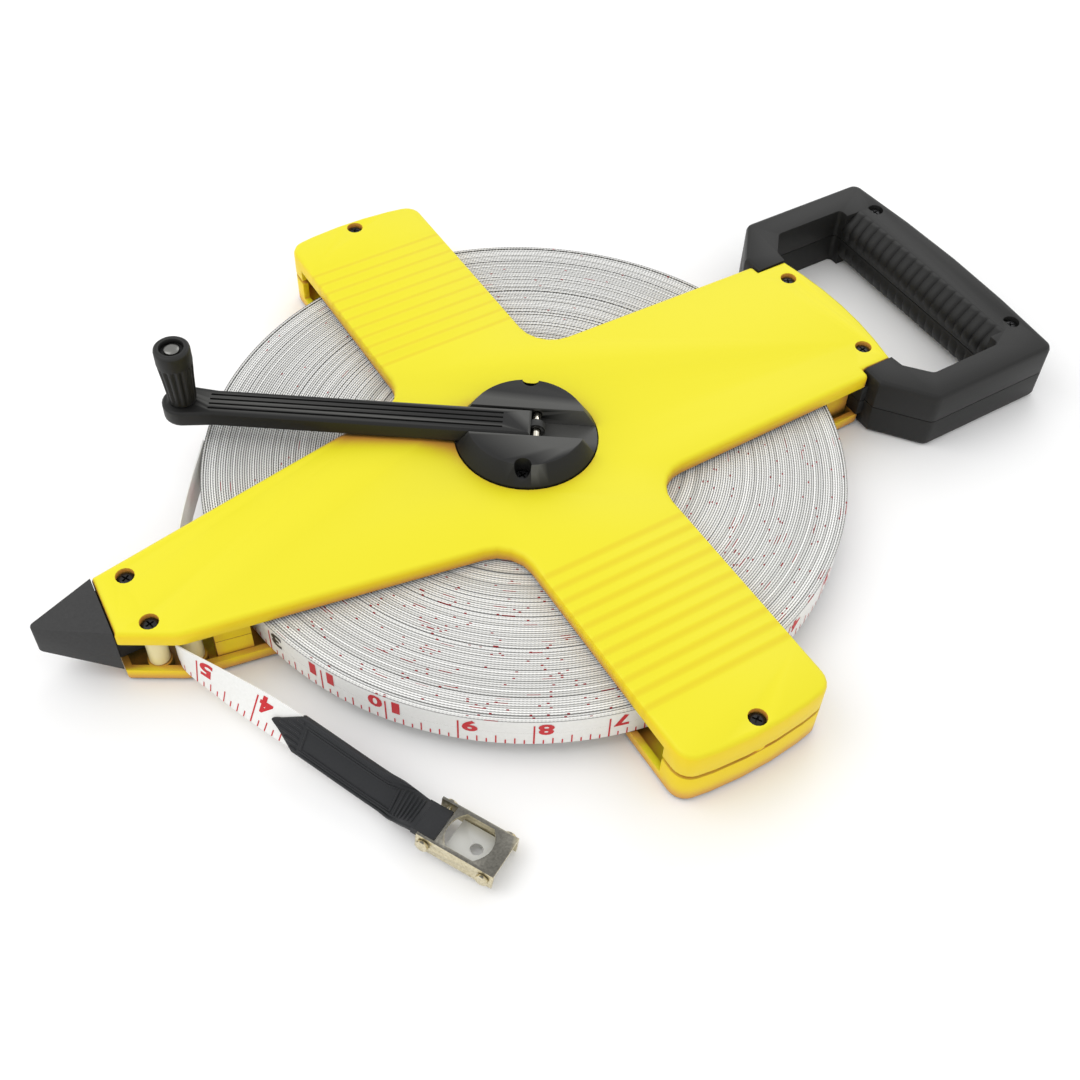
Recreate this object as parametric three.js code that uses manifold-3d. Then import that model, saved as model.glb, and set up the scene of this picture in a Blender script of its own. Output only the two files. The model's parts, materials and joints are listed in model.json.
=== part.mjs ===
// Open-frame surveyor's tape reel: two cross-shaped shells screwed together round a crank-wound drum of
// printed tape. Millimetres, +Z up, crank side up. The origin is on the drum axis at the underside, +X runs to
// the hand grip and -X to the nose, where the tape comes out.
import * as THREE from "three";
import { mergeVertices } from "three/addons/utils/BufferGeometryUtils.js";
import Module from "manifold-3d";

// ---- driving dimensions -------------------------------------------------------------------------------------
const THICK = 27; // whole frame, and the hand grip
const MID = THICK / 2; // the plane where the two shells and the two grip halves meet
const WALL = 2.4; // moulded wall of the shells
const GAP = 0.3; // clearance between touching pieces
const LIP = 6; // how deep the shells' side lips are
const EDGE = 1.8; // rounding of the shells' outer edges

const ARM_HALF = 30.2; // half-width of the two cross arms
const ARM_END_R = 150.5; // the arms end on a circle about the drum
const ARM_WALL_Y = 136.5; // the arm-end walls wrap round from here
const FRONT_WALL = 11.2; // depth of the front shell's arm-end walls
const REAR_WALL = 13.8; // depth of the rear shell's arm-end walls
const TAIL_HALF = 40.5; // half-width of the plate beside the drum, on the grip side
const SHOULDER = [136.5, 39];
const TONGUE_HALF = 34.8;
const TONGUE_END_R = 155;
const NOSE_END = [[-165, 16.5], [-166.6, -10.6]];
const NOSE_CHEEK = [-148.5, -21.4]; // where the nose's near side turns in to the tape mouth

const RIB_PITCH = 6.25; // cross ribs on the arms
const RIB_COUNT = 11;
const RIB_START = 60;
const RIB_DEPTH = 0.7;

const TAPE_WIDTH = 13;
const TAPE_THICK = 0.5;
const COIL_R = 122.9;
const COIL_LOW = 6.5;
const CORE_R = 30;
const CORE_TOP = 24.1;
const CORE_LOW = 3.3;
const CORE_LIP = 22.2; // top of the core's bearing sleeve
const AXLE_R = 5;
const AXLE_SCREW_R = 1.5;
const POST_TOP = 22.6;
const BUSH_R = 6.5;

const HUB_OPENING_R = 27.5; // round opening of the front shell
const HUB_R = 27;
const HUB_TOP_R = 22.5;
const HUB_TOP = 35;
const SLOT_HALF = 7.2; // channel across the hub that the crank folds into
const SLOT_FLOOR = 27.3;
const HUB_EDGE = 27.8; // height of the hub's outer rim, where its bevel starts
const HUB_SCREW_R = 22.2;

const CRANK_TURN = THREE.MathUtils.degToRad(145.2); // where the crank points
const CRANK_REACH = 129.8; // drum axis to knob axis
const CRANK_HALF = 6.5;
const CRANK_LOW = 28.1;
const CRANK_HIGH = 35;
const CRANK_END_R = 8;
const HINGE_X = -3.6; // the fold pin lies just past the drum axis
const HINGE_Z = (CRANK_LOW + CRANK_HIGH) / 2;
const PIN_R = 1.7;
const KNOB_TOP = 61.2;
const KNOB_BASE_R = 5.2;
const KNOB_TOP_R = 6.75;

const SCREW_R = 1.4;
const HEAD_R = 2.9;
const RECESS_R = 3.4;
const HEAD_DEPTH = 1.4; // screw heads sit this far below the face
const BOSS_R = 5;
const NOSE_SCREW = [-154.6, 11.3];
const TAIL_SCREW = [145.3, 24.7];
const ARM_SCREW_Y = 145.2;
const GRIP_SCREW = [209.6, 43.4];
const SIDE_ROLLER = [-143.8, -15.8];
const ROLLER_R = 3.7;

const GRIP_HALF_Y = 63.5;
const GRIP_END_X = 214.8;
const GRIP_BOW = 3.4; // the outer edge of the grip is slightly bowed
const GRIP_EDGE = 2; // rounding of the grip's outer edges
const GRIP_INNER_X = 195.5;
const GRIP_INNER_Y = 50.8;

const SLEEVE_LENGTH = 61;
const SLEEVE_POINT = 10.4; // length of the sleeve's pointed end
const SLEEVE_POCKET = 14; // how far the tape reaches into the sleeve
const SLEEVE_HALF = 7;
const SLEEVE_THICK = 2.8;
const HOOK_PIN = 66; // sleeve point to the rivet that joins the hook
const CLAW_PIN = HOOK_PIN + 21.9; // sleeve point to the claw's rivet
const HOOK_END = CLAW_PIN + 3.4;
const HOOK_HALF = 8.3; // outside half-width of the hook frame
const SHEET = 0.9; // sheet metal of the hook
const RIVET_R = 0.9;
const LUG_HALF = 6.2;
const TWIST_FROM = 45; // the sleeve twists, and narrows to its neck, from here
const TWIST_TO = 60;
const NECK_HALF = 6.2; // half-width of the sleeve's neck, by the hook
const RIVET_HEAD_R = 2.2;
const WINDOW_HALF = 6.8; // half-width of the lens-shaped window in the hook's plate

// ---- solids -------------------------------------------------------------------------------------------------
const wasm = await Module();
wasm.setup();

function toSolid(geometry) {
  const bare = geometry.index ? geometry.toNonIndexed() : geometry.clone();
  for (const name of Object.keys(bare.attributes)) {
    if (name !== "position") bare.deleteAttribute(name);
  }
  const merged = mergeVertices(bare, 1e-4);
  return new wasm.Manifold(
    new wasm.Mesh({
      numProp: 3,
      vertProperties: new Float32Array(merged.attributes.position.array),
      triVerts: new Uint32Array(merged.index.array),
    }),
  );
}

function toGeometry(solid) {
  const mesh = solid.getMesh();
  const geometry = new THREE.BufferGeometry();
  geometry.setAttribute("position", new THREE.BufferAttribute(new Float32Array(mesh.vertProperties), 3));
  geometry.setIndex(new THREE.BufferAttribute(new Uint32Array(mesh.triVerts), 1));
  geometry.computeVertexNormals();
  return geometry;
}

const shapeOf = (points) => new THREE.Shape(points.map(([x, y]) => new THREE.Vector2(x, y)));

// An upright prism on an outline between two heights.
function prism(points, low, high) {
  const geometry = new THREE.ExtrudeGeometry(shapeOf(points), { depth: high - low, bevelEnabled: false });
  return toSolid(geometry.translate(0, 0, low));
}

// A closed solid through outlines of equal length, one above the other, each at its own height.
function stack(outlines, heights) {
  const count = outlines[0].length;
  const positions = outlines.flatMap((points, i) => points.flatMap(([x, y]) => [x, y, heights[i]]));
  const index = [];
  for (let i = 0; i + 1 < outlines.length; i += 1) {
    for (let k = 0; k < count; k += 1) {
      const a = i * count + k;
      const b = i * count + ((k + 1) % count);
      index.push(a, b, b + count, a, b + count, a + count);
    }
  }
  const flat = (points) => points.map(([x, y]) => new THREE.Vector2(x, y));
  const top = (outlines.length - 1) * count;
  for (const [a, b, c] of THREE.ShapeUtils.triangulateShape(flat(outlines[0]), [])) index.push(a, c, b);
  for (const [a, b, c] of THREE.ShapeUtils.triangulateShape(flat(outlines.at(-1)), [])) {
    index.push(top + a, top + b, top + c);
  }
  const geometry = new THREE.BufferGeometry();
  geometry.setAttribute("position", new THREE.Float32BufferAttribute(positions, 3));
  geometry.setIndex(index);
  return toSolid(geometry);
}

// A prism on filleted corners whose upper rim, lower rim or both are rounded.
function pillow(corners, low, high, roundLow, roundHigh, steps = 2) {
  const outlines = [];
  const heights = [];
  const rim = (round, at, into, order) => {
    for (const k of order) {
      const angle = ((Math.PI / 2) * k) / steps;
      outlines.push(filleted(inset(corners, round * (1 - Math.sin(angle)))));
      heights.push(at + into * round * (1 - Math.cos(angle)));
    }
  };
  const rising = Array.from({ length: steps + 1 }, (_, k) => k);
  if (roundLow > 0) rim(roundLow, low, 1, rising);
  else rim(0, low, 1, [0]);
  if (roundHigh > 0) rim(roundHigh, high, -1, rising.reverse());
  else rim(0, high, 1, [0]);
  return stack(outlines, heights);
}

// A prism along X on an outline given as [y, z].
function beam(points, from, to) {
  const geometry = new THREE.ExtrudeGeometry(shapeOf(points), { depth: to - from, bevelEnabled: false });
  const turn = new THREE.Matrix4().makeBasis(
    new THREE.Vector3(0, 1, 0),
    new THREE.Vector3(0, 0, 1),
    new THREE.Vector3(1, 0, 0),
  );
  return toSolid(geometry.applyMatrix4(turn).translate(from, 0, 0));
}

// A prism along Y on an outline given as [x, z].
function crossBeam(points, from, to) {
  const geometry = new THREE.ExtrudeGeometry(shapeOf(points), { depth: to - from, bevelEnabled: false });
  return toSolid(geometry.rotateX(Math.PI / 2).translate(0, to, 0));
}

function box(x0, x1, y0, y1, z0, z1) {
  const geometry = new THREE.BoxGeometry(x1 - x0, y1 - y0, z1 - z0);
  return toSolid(geometry.translate((x0 + x1) / 2, (y0 + y1) / 2, (z0 + z1) / 2));
}

function post([x, y], radius, z0, z1, sides = 24) {
  const geometry = new THREE.CylinderGeometry(radius, radius, z1 - z0, sides).rotateX(Math.PI / 2);
  return toSolid(geometry.translate(x, y, (z0 + z1) / 2));
}

// A rod along Y.
function rod([x, z], radius, y0, y1, sides = 20) {
  const geometry = new THREE.CylinderGeometry(radius, radius, y1 - y0, sides);
  return toSolid(geometry.translate(x, (y0 + y1) / 2, z));
}

// A turned piece about Z; the profile is [radius, height] and starts and ends on the axis or on itself.
function turned(profile, sides = 48) {
  const points = profile.map(([r, z]) => new THREE.Vector2(r, z));
  return toSolid(new THREE.LatheGeometry(points, sides).rotateX(Math.PI / 2));
}

const joined = (first, ...rest) => rest.reduce((all, one) => all.add(one), first);
const cut = (first, ...rest) => rest.reduce((all, one) => all.subtract(one), first);

// ---- outlines -----------------------------------------------------------------------------------------------
// Corners are [x, y, radius]; each is replaced by an arc of that radius.
function filleted(corners, step = Math.PI / 9) {
  const points = [];
  corners.forEach(([x, y, radius = 0], i) => {
    const here = new THREE.Vector2(x, y);
    const [px, py] = corners[(i + corners.length - 1) % corners.length];
    const [nx, ny] = corners[(i + 1) % corners.length];
    const back = new THREE.Vector2(px - x, py - y).normalize();
    const on = new THREE.Vector2(nx - x, ny - y).normalize();
    const inside = Math.acos(THREE.MathUtils.clamp(back.dot(on), -1, 1));
    if (radius <= 0 || inside > 3.12) {
      points.push([x, y]);
      return;
    }
    const reach = radius / Math.tan(inside / 2);
    const start = here.clone().addScaledVector(back, reach);
    const middle = back.clone().add(on).normalize().multiplyScalar(radius / Math.sin(inside / 2)).add(here);
    const turn = Math.sign(back.x * on.y - back.y * on.x) * -(Math.PI - inside);
    const steps = Math.max(1, Math.ceil(Math.abs(turn) / step));
    for (let k = 0; k <= steps; k += 1) {
      const p = start.clone().rotateAround(middle, (turn * k) / steps);
      points.push([p.x, p.y]);
    }
  });
  return points;
}

// The same corners moved inward by `by`, for a counter-clockwise outline.
function inset(corners, by) {
  return corners.map(([x, y, radius = 0], i) => {
    const [px, py] = corners[(i + corners.length - 1) % corners.length];
    const [nx, ny] = corners[(i + 1) % corners.length];
    const a = new THREE.Vector2(x - px, y - py).normalize();
    const b = new THREE.Vector2(nx - x, ny - y).normalize();
    const na = new THREE.Vector2(-a.y, a.x);
    const nb = new THREE.Vector2(-b.y, b.x);
    const reach = by / Math.max(0.2, 1 + na.dot(nb));
    const convex = a.x * b.y - a.y * b.x > 0;
    const newRadius = radius > 0 ? Math.max(0.02, radius + (convex ? -by : by)) : 0;
    return [x + (na.x + nb.x) * reach, y + (na.y + nb.y) * reach, newRadius];
  });
}

// Points of an arc about the drum axis from one y (or x) to another, for ends that follow a circle.
function endArc(radius, from, to, alongX, sign, count = 5) {
  const points = [];
  for (let k = 0; k <= count; k += 1) {
    const a = from + ((to - from) * k) / count;
    const b = sign * Math.sqrt(radius * radius - a * a);
    points.push(alongX ? [a, b] : [b, a]);
  }
  return points;
}

function armEnd(sign) {
  const points = endArc(ARM_END_R, sign * ARM_HALF, -sign * ARM_HALF, true, sign);
  points[0][2] = 7;
  points[points.length - 1][2] = 7;
  return points;
}

// The cross-shaped outline of both shells, counter-clockwise seen from the crank side.
const FRAME = [
  ...endArc(TONGUE_END_R, -TONGUE_HALF, TONGUE_HALF, false, 1, 6),
  [SHOULDER[0] + 0.4, TONGUE_HALF],
  [SHOULDER[0], SHOULDER[1], 1.6],
  [ARM_HALF, TAIL_HALF + 0.3, 14],
  ...armEnd(1),
  [-ARM_HALF, 41.6, 14],
  [...NOSE_END[0], 1],
  [...NOSE_END[1], 1],
  [...NOSE_CHEEK, 9],
  [-ARM_HALF, -42.4, 14],
  ...armEnd(-1),
  [ARM_HALF, -TAIL_HALF - 0.3, 14],
  [SHOULDER[0], -SHOULDER[1], 1.6],
  [SHOULDER[0] + 0.4, -TONGUE_HALF],
];

// ---- shells -------------------------------------------------------------------------------------------------
const NOSE_SCREWS = [NOSE_SCREW, [NOSE_SCREW[0], -NOSE_SCREW[1]]];
const TAIL_SCREWS = [TAIL_SCREW, [TAIL_SCREW[0], -TAIL_SCREW[1]]];
const ARM_SCREWS = [[0, ARM_SCREW_Y], [0, -ARM_SCREW_Y]];
const GRIP_SCREWS = [GRIP_SCREW, [GRIP_SCREW[0], -GRIP_SCREW[1]]];

// A saw-toothed strip that cuts the cross ribs into one arm; `z` is the face and `into` the cutting direction.
function ribCutter(sign, z, into) {
  const profile = [[sign * RIB_START, z - into]];
  for (let k = 0; k < RIB_COUNT; k += 1) {
    const y = RIB_START + k * RIB_PITCH;
    profile.push([sign * y, z - into * 0.01]);
    profile.push([sign * (y + RIB_PITCH / 2), z + into * RIB_DEPTH]);
  }
  const end = RIB_START + RIB_COUNT * RIB_PITCH;
  profile.push([sign * end, z - into * 0.01], [sign * end, z - into]);
  return beam(sign * into > 0 ? profile : profile.reverse(), -ARM_HALF - 2, ARM_HALF + 2);
}

// The wall that closes the nose beside the tape mouth, [x, y].
const MOUTH_WALL = [[-137, -20.6], [-124.5, -23], [-124.5, -20.8], [-137, -18.4]];

// One shell. `up` is +1 for the front shell, whose outer face is at the top, and -1 for the rear one.
function shell(up, wallDepth) {
  const z = (depth) => (up > 0 ? THICK - depth : depth);
  const slab = (make, from, to, ...rest) => make(...rest, Math.min(z(from), z(to)), Math.max(z(from), z(to)));
  const body = up > 0
    ? pillow(FRAME, z(wallDepth), THICK, 0, EDGE)
    : pillow(FRAME, 0, z(wallDepth), EDGE, 0);
  const trimmed = cut(
    body,
    slab(prism, WALL, wallDepth + 1, filleted(inset(FRAME, WALL))),
    slab(box, LIP, wallDepth + 1, -250, 250, -ARM_WALL_Y, ARM_WALL_Y),
  );
  const bosses = [];
  const lift = WALL - 0.4; // bosses and walls are rooted in the plate
  const span = (depthA, depthB) => [Math.min(z(depthA), z(depthB)), Math.max(z(depthA), z(depthB))];
  for (const at of [...NOSE_SCREWS, ...TAIL_SCREWS, SIDE_ROLLER]) {
    bosses.push(post(at, BOSS_R - 0.6, ...span(lift, LIP + 0.1)));
  }
  const armBoss = up > 0 ? FRONT_WALL : THICK - FRONT_WALL - GAP;
  for (const at of ARM_SCREWS) bosses.push(post(at, BOSS_R, ...span(lift, armBoss)));
  for (const side of [1, -1]) {
    const [near, far] = side > 0 ? [31, 31 + WALL] : [-31 - WALL, -31];
    bosses.push(box(120.5, 134, near, far, ...span(lift, MID - GAP / 2)));
  }
  bosses.push(prism(MOUTH_WALL, ...span(lift, MID - GAP / 2)));
  const holes = [];
  for (const at of [...NOSE_SCREWS, ...TAIL_SCREWS, ...ARM_SCREWS]) {
    if (up > 0) {
      holes.push(post(at, SCREW_R + GAP, MID - 2, THICK + 1, 12));
      holes.push(post(at, RECESS_R, THICK - HEAD_DEPTH - 1.9, THICK + 1, 16));
    } else {
      holes.push(post(at, SCREW_R + GAP, 1.6, MID + 4, 12));
    }
  }
  holes.push(post(SIDE_ROLLER, 1.2 + GAP, ...span(1.6, LIP + 2), 16));
  for (const sign of [1, -1]) holes.push(ribCutter(sign, z(0), -up));
  let solid = joined(trimmed, ...bosses);
  if (up > 0) {
    holes.push(post([0, 0], HUB_OPENING_R, MID, THICK + 1, 48));
  } else {
    const axle = post([0, 0], AXLE_R, lift, POST_TOP, 32);
    const seat = post([0, 0], 11, lift, CORE_LOW - GAP, 32);
    solid = joined(solid, axle, seat);
    holes.push(post([0, 0], AXLE_SCREW_R + GAP, 8, POST_TOP + 1, 16));
  }
  return cut(solid, ...holes);
}

// ---- hand grip ----------------------------------------------------------------------------------------------
const GRIP_OUTER = [
  [137.2, -44.6, 1],
  [152.4, -GRIP_HALF_Y, 4],
  [GRIP_END_X, -GRIP_HALF_Y, 4],
  [GRIP_END_X + GRIP_BOW * 0.75, -30],
  [GRIP_END_X + GRIP_BOW, 0],
  [GRIP_END_X + GRIP_BOW * 0.75, 30],
  [GRIP_END_X, GRIP_HALF_Y, 4],
  [152.4, GRIP_HALF_Y, 4],
  [137.2, 44.6, 1],
];
const GRIP_WINDOW = [
  [130, -TONGUE_HALF - GAP],
  [151.4, -TONGUE_HALF - GAP],
  [152, -41, 2],
  [160.5, -GRIP_INNER_Y, 3],
  [GRIP_INNER_X, -GRIP_INNER_Y, 2],
  [GRIP_INNER_X, GRIP_INNER_Y, 2],
  [160.5, GRIP_INNER_Y, 3],
  [152, 41, 2],
  [151.4, TONGUE_HALF + GAP],
  [130, TONGUE_HALF + GAP],
];

function gripHalf(up) {
  const middle = MID + (up * GAP) / 2;
  const [low, high] = up > 0 ? [middle, THICK] : [0, middle];
  const ring = cut(
    pillow(GRIP_OUTER, low, high, up > 0 ? 0 : GRIP_EDGE, up > 0 ? GRIP_EDGE : 0),
    prism(filleted(GRIP_WINDOW), -1, THICK + 1),
  );
  const barLow = up > 0 ? middle : LIP + GAP;
  const barHigh = up > 0 ? THICK - LIP - GAP : middle;
  const bar = box(134.5, 150, -39.5, 39.5, barLow, barHigh);
  // The finger side of the bar is rounded off.
  const face = up > 0 ? THICK : 0;
  const soften = crossBeam(
    up > 0
      ? [[GRIP_INNER_X - 1, face + 1], [GRIP_INNER_X - 1, face - 9], [GRIP_INNER_X + 2.6, face - 3.6],
        [GRIP_INNER_X + 9, face + 1]]
      : [[GRIP_INNER_X - 1, face - 1], [GRIP_INNER_X + 9, face - 1], [GRIP_INNER_X + 2.6, face + 3.6],
        [GRIP_INNER_X - 1, face + 9]],
    -46,
    46,
  );
  const holes = [soften];
  for (const at of TAIL_SCREWS) holes.push(post(at, SCREW_R + GAP, -1, THICK + 1, 16));
  for (const at of GRIP_SCREWS) {
    if (up > 0) {
      holes.push(post(at, SCREW_R + GAP, MID - 1, THICK + 1, 16));
      holes.push(post(at, RECESS_R, THICK - HEAD_DEPTH - 1.9, THICK + 1, 16));
    } else {
      holes.push(post(at, SCREW_R + GAP, 3, MID + 1, 16));
    }
  }
  return cut(joined(ring, bar), ...holes);
}

// ---- nose ---------------------------------------------------------------------------------------------------
const NOSE_UNDERCUT = [[-200, 0], [-200, 18], [-190.5, 15], [-166, 6], [-160, 6], [-160, 0]];

function noseTip() {
  const outline = filleted([
    [NOSE_END[0][0] - GAP, NOSE_END[0][1] - 0.3],
    [-191.6, 6.4, 1.8],
    [NOSE_END[1][0] - GAP, NOSE_END[1][1] + 0.3],
  ]);
  const point = cut(
    prism(outline, 5, THICK),
    crossBeam(NOSE_UNDERCUT, -40, 40),
  );
  const tang = prism(
    [[-166.4, -5], [-150, -5], [-150, 15.5], [-166, 15.5]],
    LIP + 0.1 + GAP,
    THICK - LIP - 0.1 - GAP,
  );
  return cut(joined(point, tang), post(NOSE_SCREW, SCREW_R + GAP, -1, THICK + 1, 16));
}

function roller(at, bore) {
  return cut(
    post(at, ROLLER_R, LIP + 0.1 + GAP, THICK - LIP - 0.1 - GAP, 28),
    post(at, bore, 0, THICK, 20),
  );
}

// A countersunk-style screw standing on `low`, with its head's face at `high`.
function screw([x, y], low, high) {
  const neck = high - 1.7;
  return turned([[0, low], [SCREW_R, low + 1], [SCREW_R, neck], [HEAD_R, neck], [HEAD_R, high], [0, high]], 12)
    .translate([x, y, 0]);
}

// ---- drum ---------------------------------------------------------------------------------------------------
// The hub's two screws lie square to the channel the crank folds into.
const HUB_SCREW_PLACES = [1, -1].map((side) => [
  -side * HUB_SCREW_R * Math.sin(CRANK_TURN),
  side * HUB_SCREW_R * Math.cos(CRANK_TURN),
]);

function drumCore() {
  const ring = turned([
    [BUSH_R + 0.25, CORE_LOW], [10, CORE_LOW], [10, 20.4], [27.4, 20.4], [27.4, CORE_LOW], [CORE_R, CORE_LOW],
    [CORE_R, CORE_TOP], [9.8, CORE_TOP], [9.8, CORE_LIP], [BUSH_R + 0.25, CORE_LIP], [BUSH_R + 0.25, CORE_LOW],
  ], 48);
  const sockets = HUB_SCREW_PLACES.map((at) => post(at, 3.8, 13, 21, 16));
  const holes = HUB_SCREW_PLACES.map((at) => post(at, SCREW_R + GAP, 14.6, 29, 12));
  return cut(joined(ring, ...sockets), ...holes);
}

function tapeCoil() {
  const inner = CORE_R + GAP;
  const high = COIL_LOW + TAPE_WIDTH;
  return turned([[inner, COIL_LOW], [COIL_R, COIL_LOW], [COIL_R, high], [inner, high], [inner, COIL_LOW]], 96);
}

// The hub and crank are drawn with the crank along +X and turned into place by their group.
function crankHub() {
  const low = CORE_TOP + GAP;
  const block = turned([[0, low], [HUB_R, low], [HUB_R, HUB_EDGE], [HUB_TOP_R, HUB_TOP], [0, HUB_TOP]], 48);
  const holes = [
    box(-40, 40, -SLOT_HALF, SLOT_HALF, SLOT_FLOOR, HUB_TOP + 1),
    post([0, 0], 7, low - 1, SLOT_FLOOR - 1.2, 32),
    rod([HINGE_X, HINGE_Z], PIN_R + GAP, -12.6, 12.6),
  ];
  for (const side of [1, -1]) {
    holes.push(post([0, side * HUB_SCREW_R], SCREW_R + GAP, low - 1, HUB_TOP + 1, 16));
    holes.push(post([0, side * HUB_SCREW_R], HEAD_R + GAP, HUB_EDGE - 0.2, HUB_TOP + 1, 20));
  }
  return cut(block, ...holes);
}

function crankArm() {
  const end = [];
  for (let k = 0; k <= 14; k += 1) {
    const angle = -Math.PI / 2 + (Math.PI * k) / 14;
    end.push([CRANK_REACH + CRANK_END_R * Math.cos(angle), CRANK_END_R * Math.sin(angle)]);
  }
  const plan = [[-1.5, -CRANK_HALF], [CRANK_REACH - 12, -CRANK_HALF], ...end, [CRANK_REACH - 12, CRANK_HALF],
    [-1.5, CRANK_HALF]];
  const eye = cut(
    rod([HINGE_X, HINGE_Z], 3.4, -1.6, 1.6, 24),
    rod([HINGE_X, HINGE_Z], PIN_R + GAP, -3, 3, 24),
  );
  const neck = box(HINGE_X + 2.4, 0, -1.6, 1.6, HINGE_Z - 2.4, HINGE_Z + 2.4);
  const grooves = [-3.6, -1.2, 1.2, 3.6].map((y) =>
    box(9, CRANK_REACH - 10, y - 0.45, y + 0.45, CRANK_HIGH - 0.7, CRANK_HIGH + 1));
  return cut(
    joined(pillow(plan, CRANK_LOW, CRANK_HIGH, 0.8, 0.8, 1), eye, neck),
    ...grooves,
    post([CRANK_REACH, 0], 2 + GAP, CRANK_LOW - 1, CRANK_HIGH + 1, 20),
    post([CRANK_REACH, 0], 3.4 + GAP, CRANK_LOW - 1, CRANK_LOW + 1.5, 20),
  );
}

function knob() {
  const low = CRANK_HIGH + GAP;
  const bore = 2 + GAP;
  return turned([
    [bore, low], [KNOB_BASE_R, low], [KNOB_TOP_R, KNOB_TOP - 6], [KNOB_TOP_R, KNOB_TOP - 1],
    [KNOB_TOP_R - 1, KNOB_TOP], [4.4, KNOB_TOP], [4.4, KNOB_TOP - 2], [bore, KNOB_TOP - 2], [bore, low],
  ], 28);
}

function knobPin() {
  return turned([
    [0, CRANK_LOW + 0.1], [3.4, CRANK_LOW + 0.1], [3.4, CRANK_LOW + 1.2], [2, CRANK_LOW + 1.2],
    [2, KNOB_TOP - 1.7], [3, KNOB_TOP - 1.7], [3, KNOB_TOP - 0.9], [1.8, KNOB_TOP - 0.5], [0, KNOB_TOP - 0.5],
  ], 16);
}

// ---- free end of the tape -----------------------------------------------------------------------------------
// The tape leaves the coil on a tangent, bends between the two guide rollers and stands nearly on edge outside.
// Each place is [x, y, z, lean in degrees of the tape's upper edge away from the frame].
const TAPE_ROUTE = [
  [-104.5, 65.6, 13, 0], [-116.6, 48.6, 13, 0], [-127.6, 31.4, 13, 0], [-138, 12, 13, 0],
  [-145.3, -3.5, 13, 0], [-148.4, -12, 13, 0], [-149.2, -17.2, 13, 0], [-148.9, -20.8, 13, 2],
  [-147.5, -24.4, 13, 6], [-143.2, -33.4, 12.7, 14], [-138.9, -42.4, 12.4, 23], [-134.5, -51.4, 12, 31],
  [-131.73, -57.28, 11.78, 34], [-125.89, -69.44, 11.3, 34],
];
const ROUTE_END = TAPE_ROUTE.at(-1);
const RUN = new THREE.Vector3(0.4328, -0.9008, -0.0359).normalize(); // which way the end fitting points
const LEAN = 34; // degrees that the sleeve's upper edge leans back at its point
const HOOK_AT = new THREE.Vector3(-102.86, -116.61, 6.02); // the rivet that joins the hook to the sleeve
const HOOK_RUN = new THREE.Vector3(0.4856, -0.8725, -0.0536).normalize();
const HOOK_LEAN = 96; // the sleeve twists until the hook lies nearly flat

// Width direction of the tape for a run direction and a lean in degrees.
function across(run, degrees) {
  const lean = THREE.MathUtils.degToRad(degrees);
  const level = new THREE.Vector3(0, 0, 1).cross(run).normalize();
  const upright = new THREE.Vector3().crossVectors(run, level).normalize();
  return upright.multiplyScalar(Math.cos(lean)).addScaledVector(level, Math.sin(lean)).normalize();
}

const CORNERS = [[-1, -1], [1, -1], [1, 1], [-1, 1]];

// A closed solid through four-cornered sections, one after another.
function squareLoft(corners) {
  const index = [0, 2, 1, 0, 3, 2];
  const end = corners.length - 4;
  for (let i = 0; i < end; i += 4) {
    for (let k = 0; k < 4; k += 1) {
      const a = i + k;
      const b = i + ((k + 1) % 4);
      index.push(a, b, b + 4, a, b + 4, a + 4);
    }
  }
  index.push(end, end + 1, end + 2, end, end + 2, end + 3);
  const geometry = new THREE.BufferGeometry();
  geometry.setAttribute("position", new THREE.Float32BufferAttribute(corners.flatMap((p) => p.toArray()), 3));
  geometry.setIndex(index);
  return toSolid(geometry);
}

function tapeBand() {
  const places = TAPE_ROUTE.map(([x, y, z]) => new THREE.Vector3(x, y, z));
  const last = places.length - 1;
  const corners = places.flatMap((p, i) => {
    const run = places[Math.min(i + 1, last)].clone().sub(places[Math.max(i - 1, 0)]).normalize();
    const section = laid(p, run, TAPE_ROUTE[i][3]);
    return CORNERS.map(([a, b]) =>
      new THREE.Vector3(0, (a * TAPE_WIDTH) / 2, (b * TAPE_THICK) / 2).applyMatrix4(section));
  });
  return squareLoft(corners);
}

const SLEEVE_AT = new THREE.Vector3(...ROUTE_END.slice(0, 3)).addScaledVector(RUN, 0.5 - SLEEVE_POCKET);

// The matrix of a piece drawn along +X with its width on Y, when that lies along a run at a lean.
function laid(at, run, lean) {
  const wide = across(run, lean);
  return new THREE.Matrix4().makeBasis(run, wide, new THREE.Vector3().crossVectors(run, wide)).setPosition(at);
}

const ON_TAPE = laid(SLEEVE_AT, RUN, LEAN);
const ON_HOOK = laid(HOOK_AT.clone().addScaledVector(HOOK_RUN, -HOOK_PIN), HOOK_RUN, HOOK_LEAN);

// The sleeve's own bent and twisted line, `x` from its point: the matrix of its section there.
function onSleeve(x) {
  const t = x / HOOK_PIN;
  const at = SLEEVE_AT.clone().multiplyScalar(2 * t ** 3 - 3 * t ** 2 + 1);
  at.addScaledVector(RUN, HOOK_PIN * (t ** 3 - 2 * t ** 2 + t));
  at.addScaledVector(HOOK_AT, 3 * t ** 2 - 2 * t ** 3);
  at.addScaledVector(HOOK_RUN, HOOK_PIN * (t ** 3 - t ** 2));
  const twist = THREE.MathUtils.smoothstep(x, TWIST_FROM, TWIST_TO);
  const run = RUN.clone().lerp(HOOK_RUN, t).normalize();
  return laid(at, run, LEAN + (HOOK_LEAN - LEAN) * twist);
}

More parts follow.
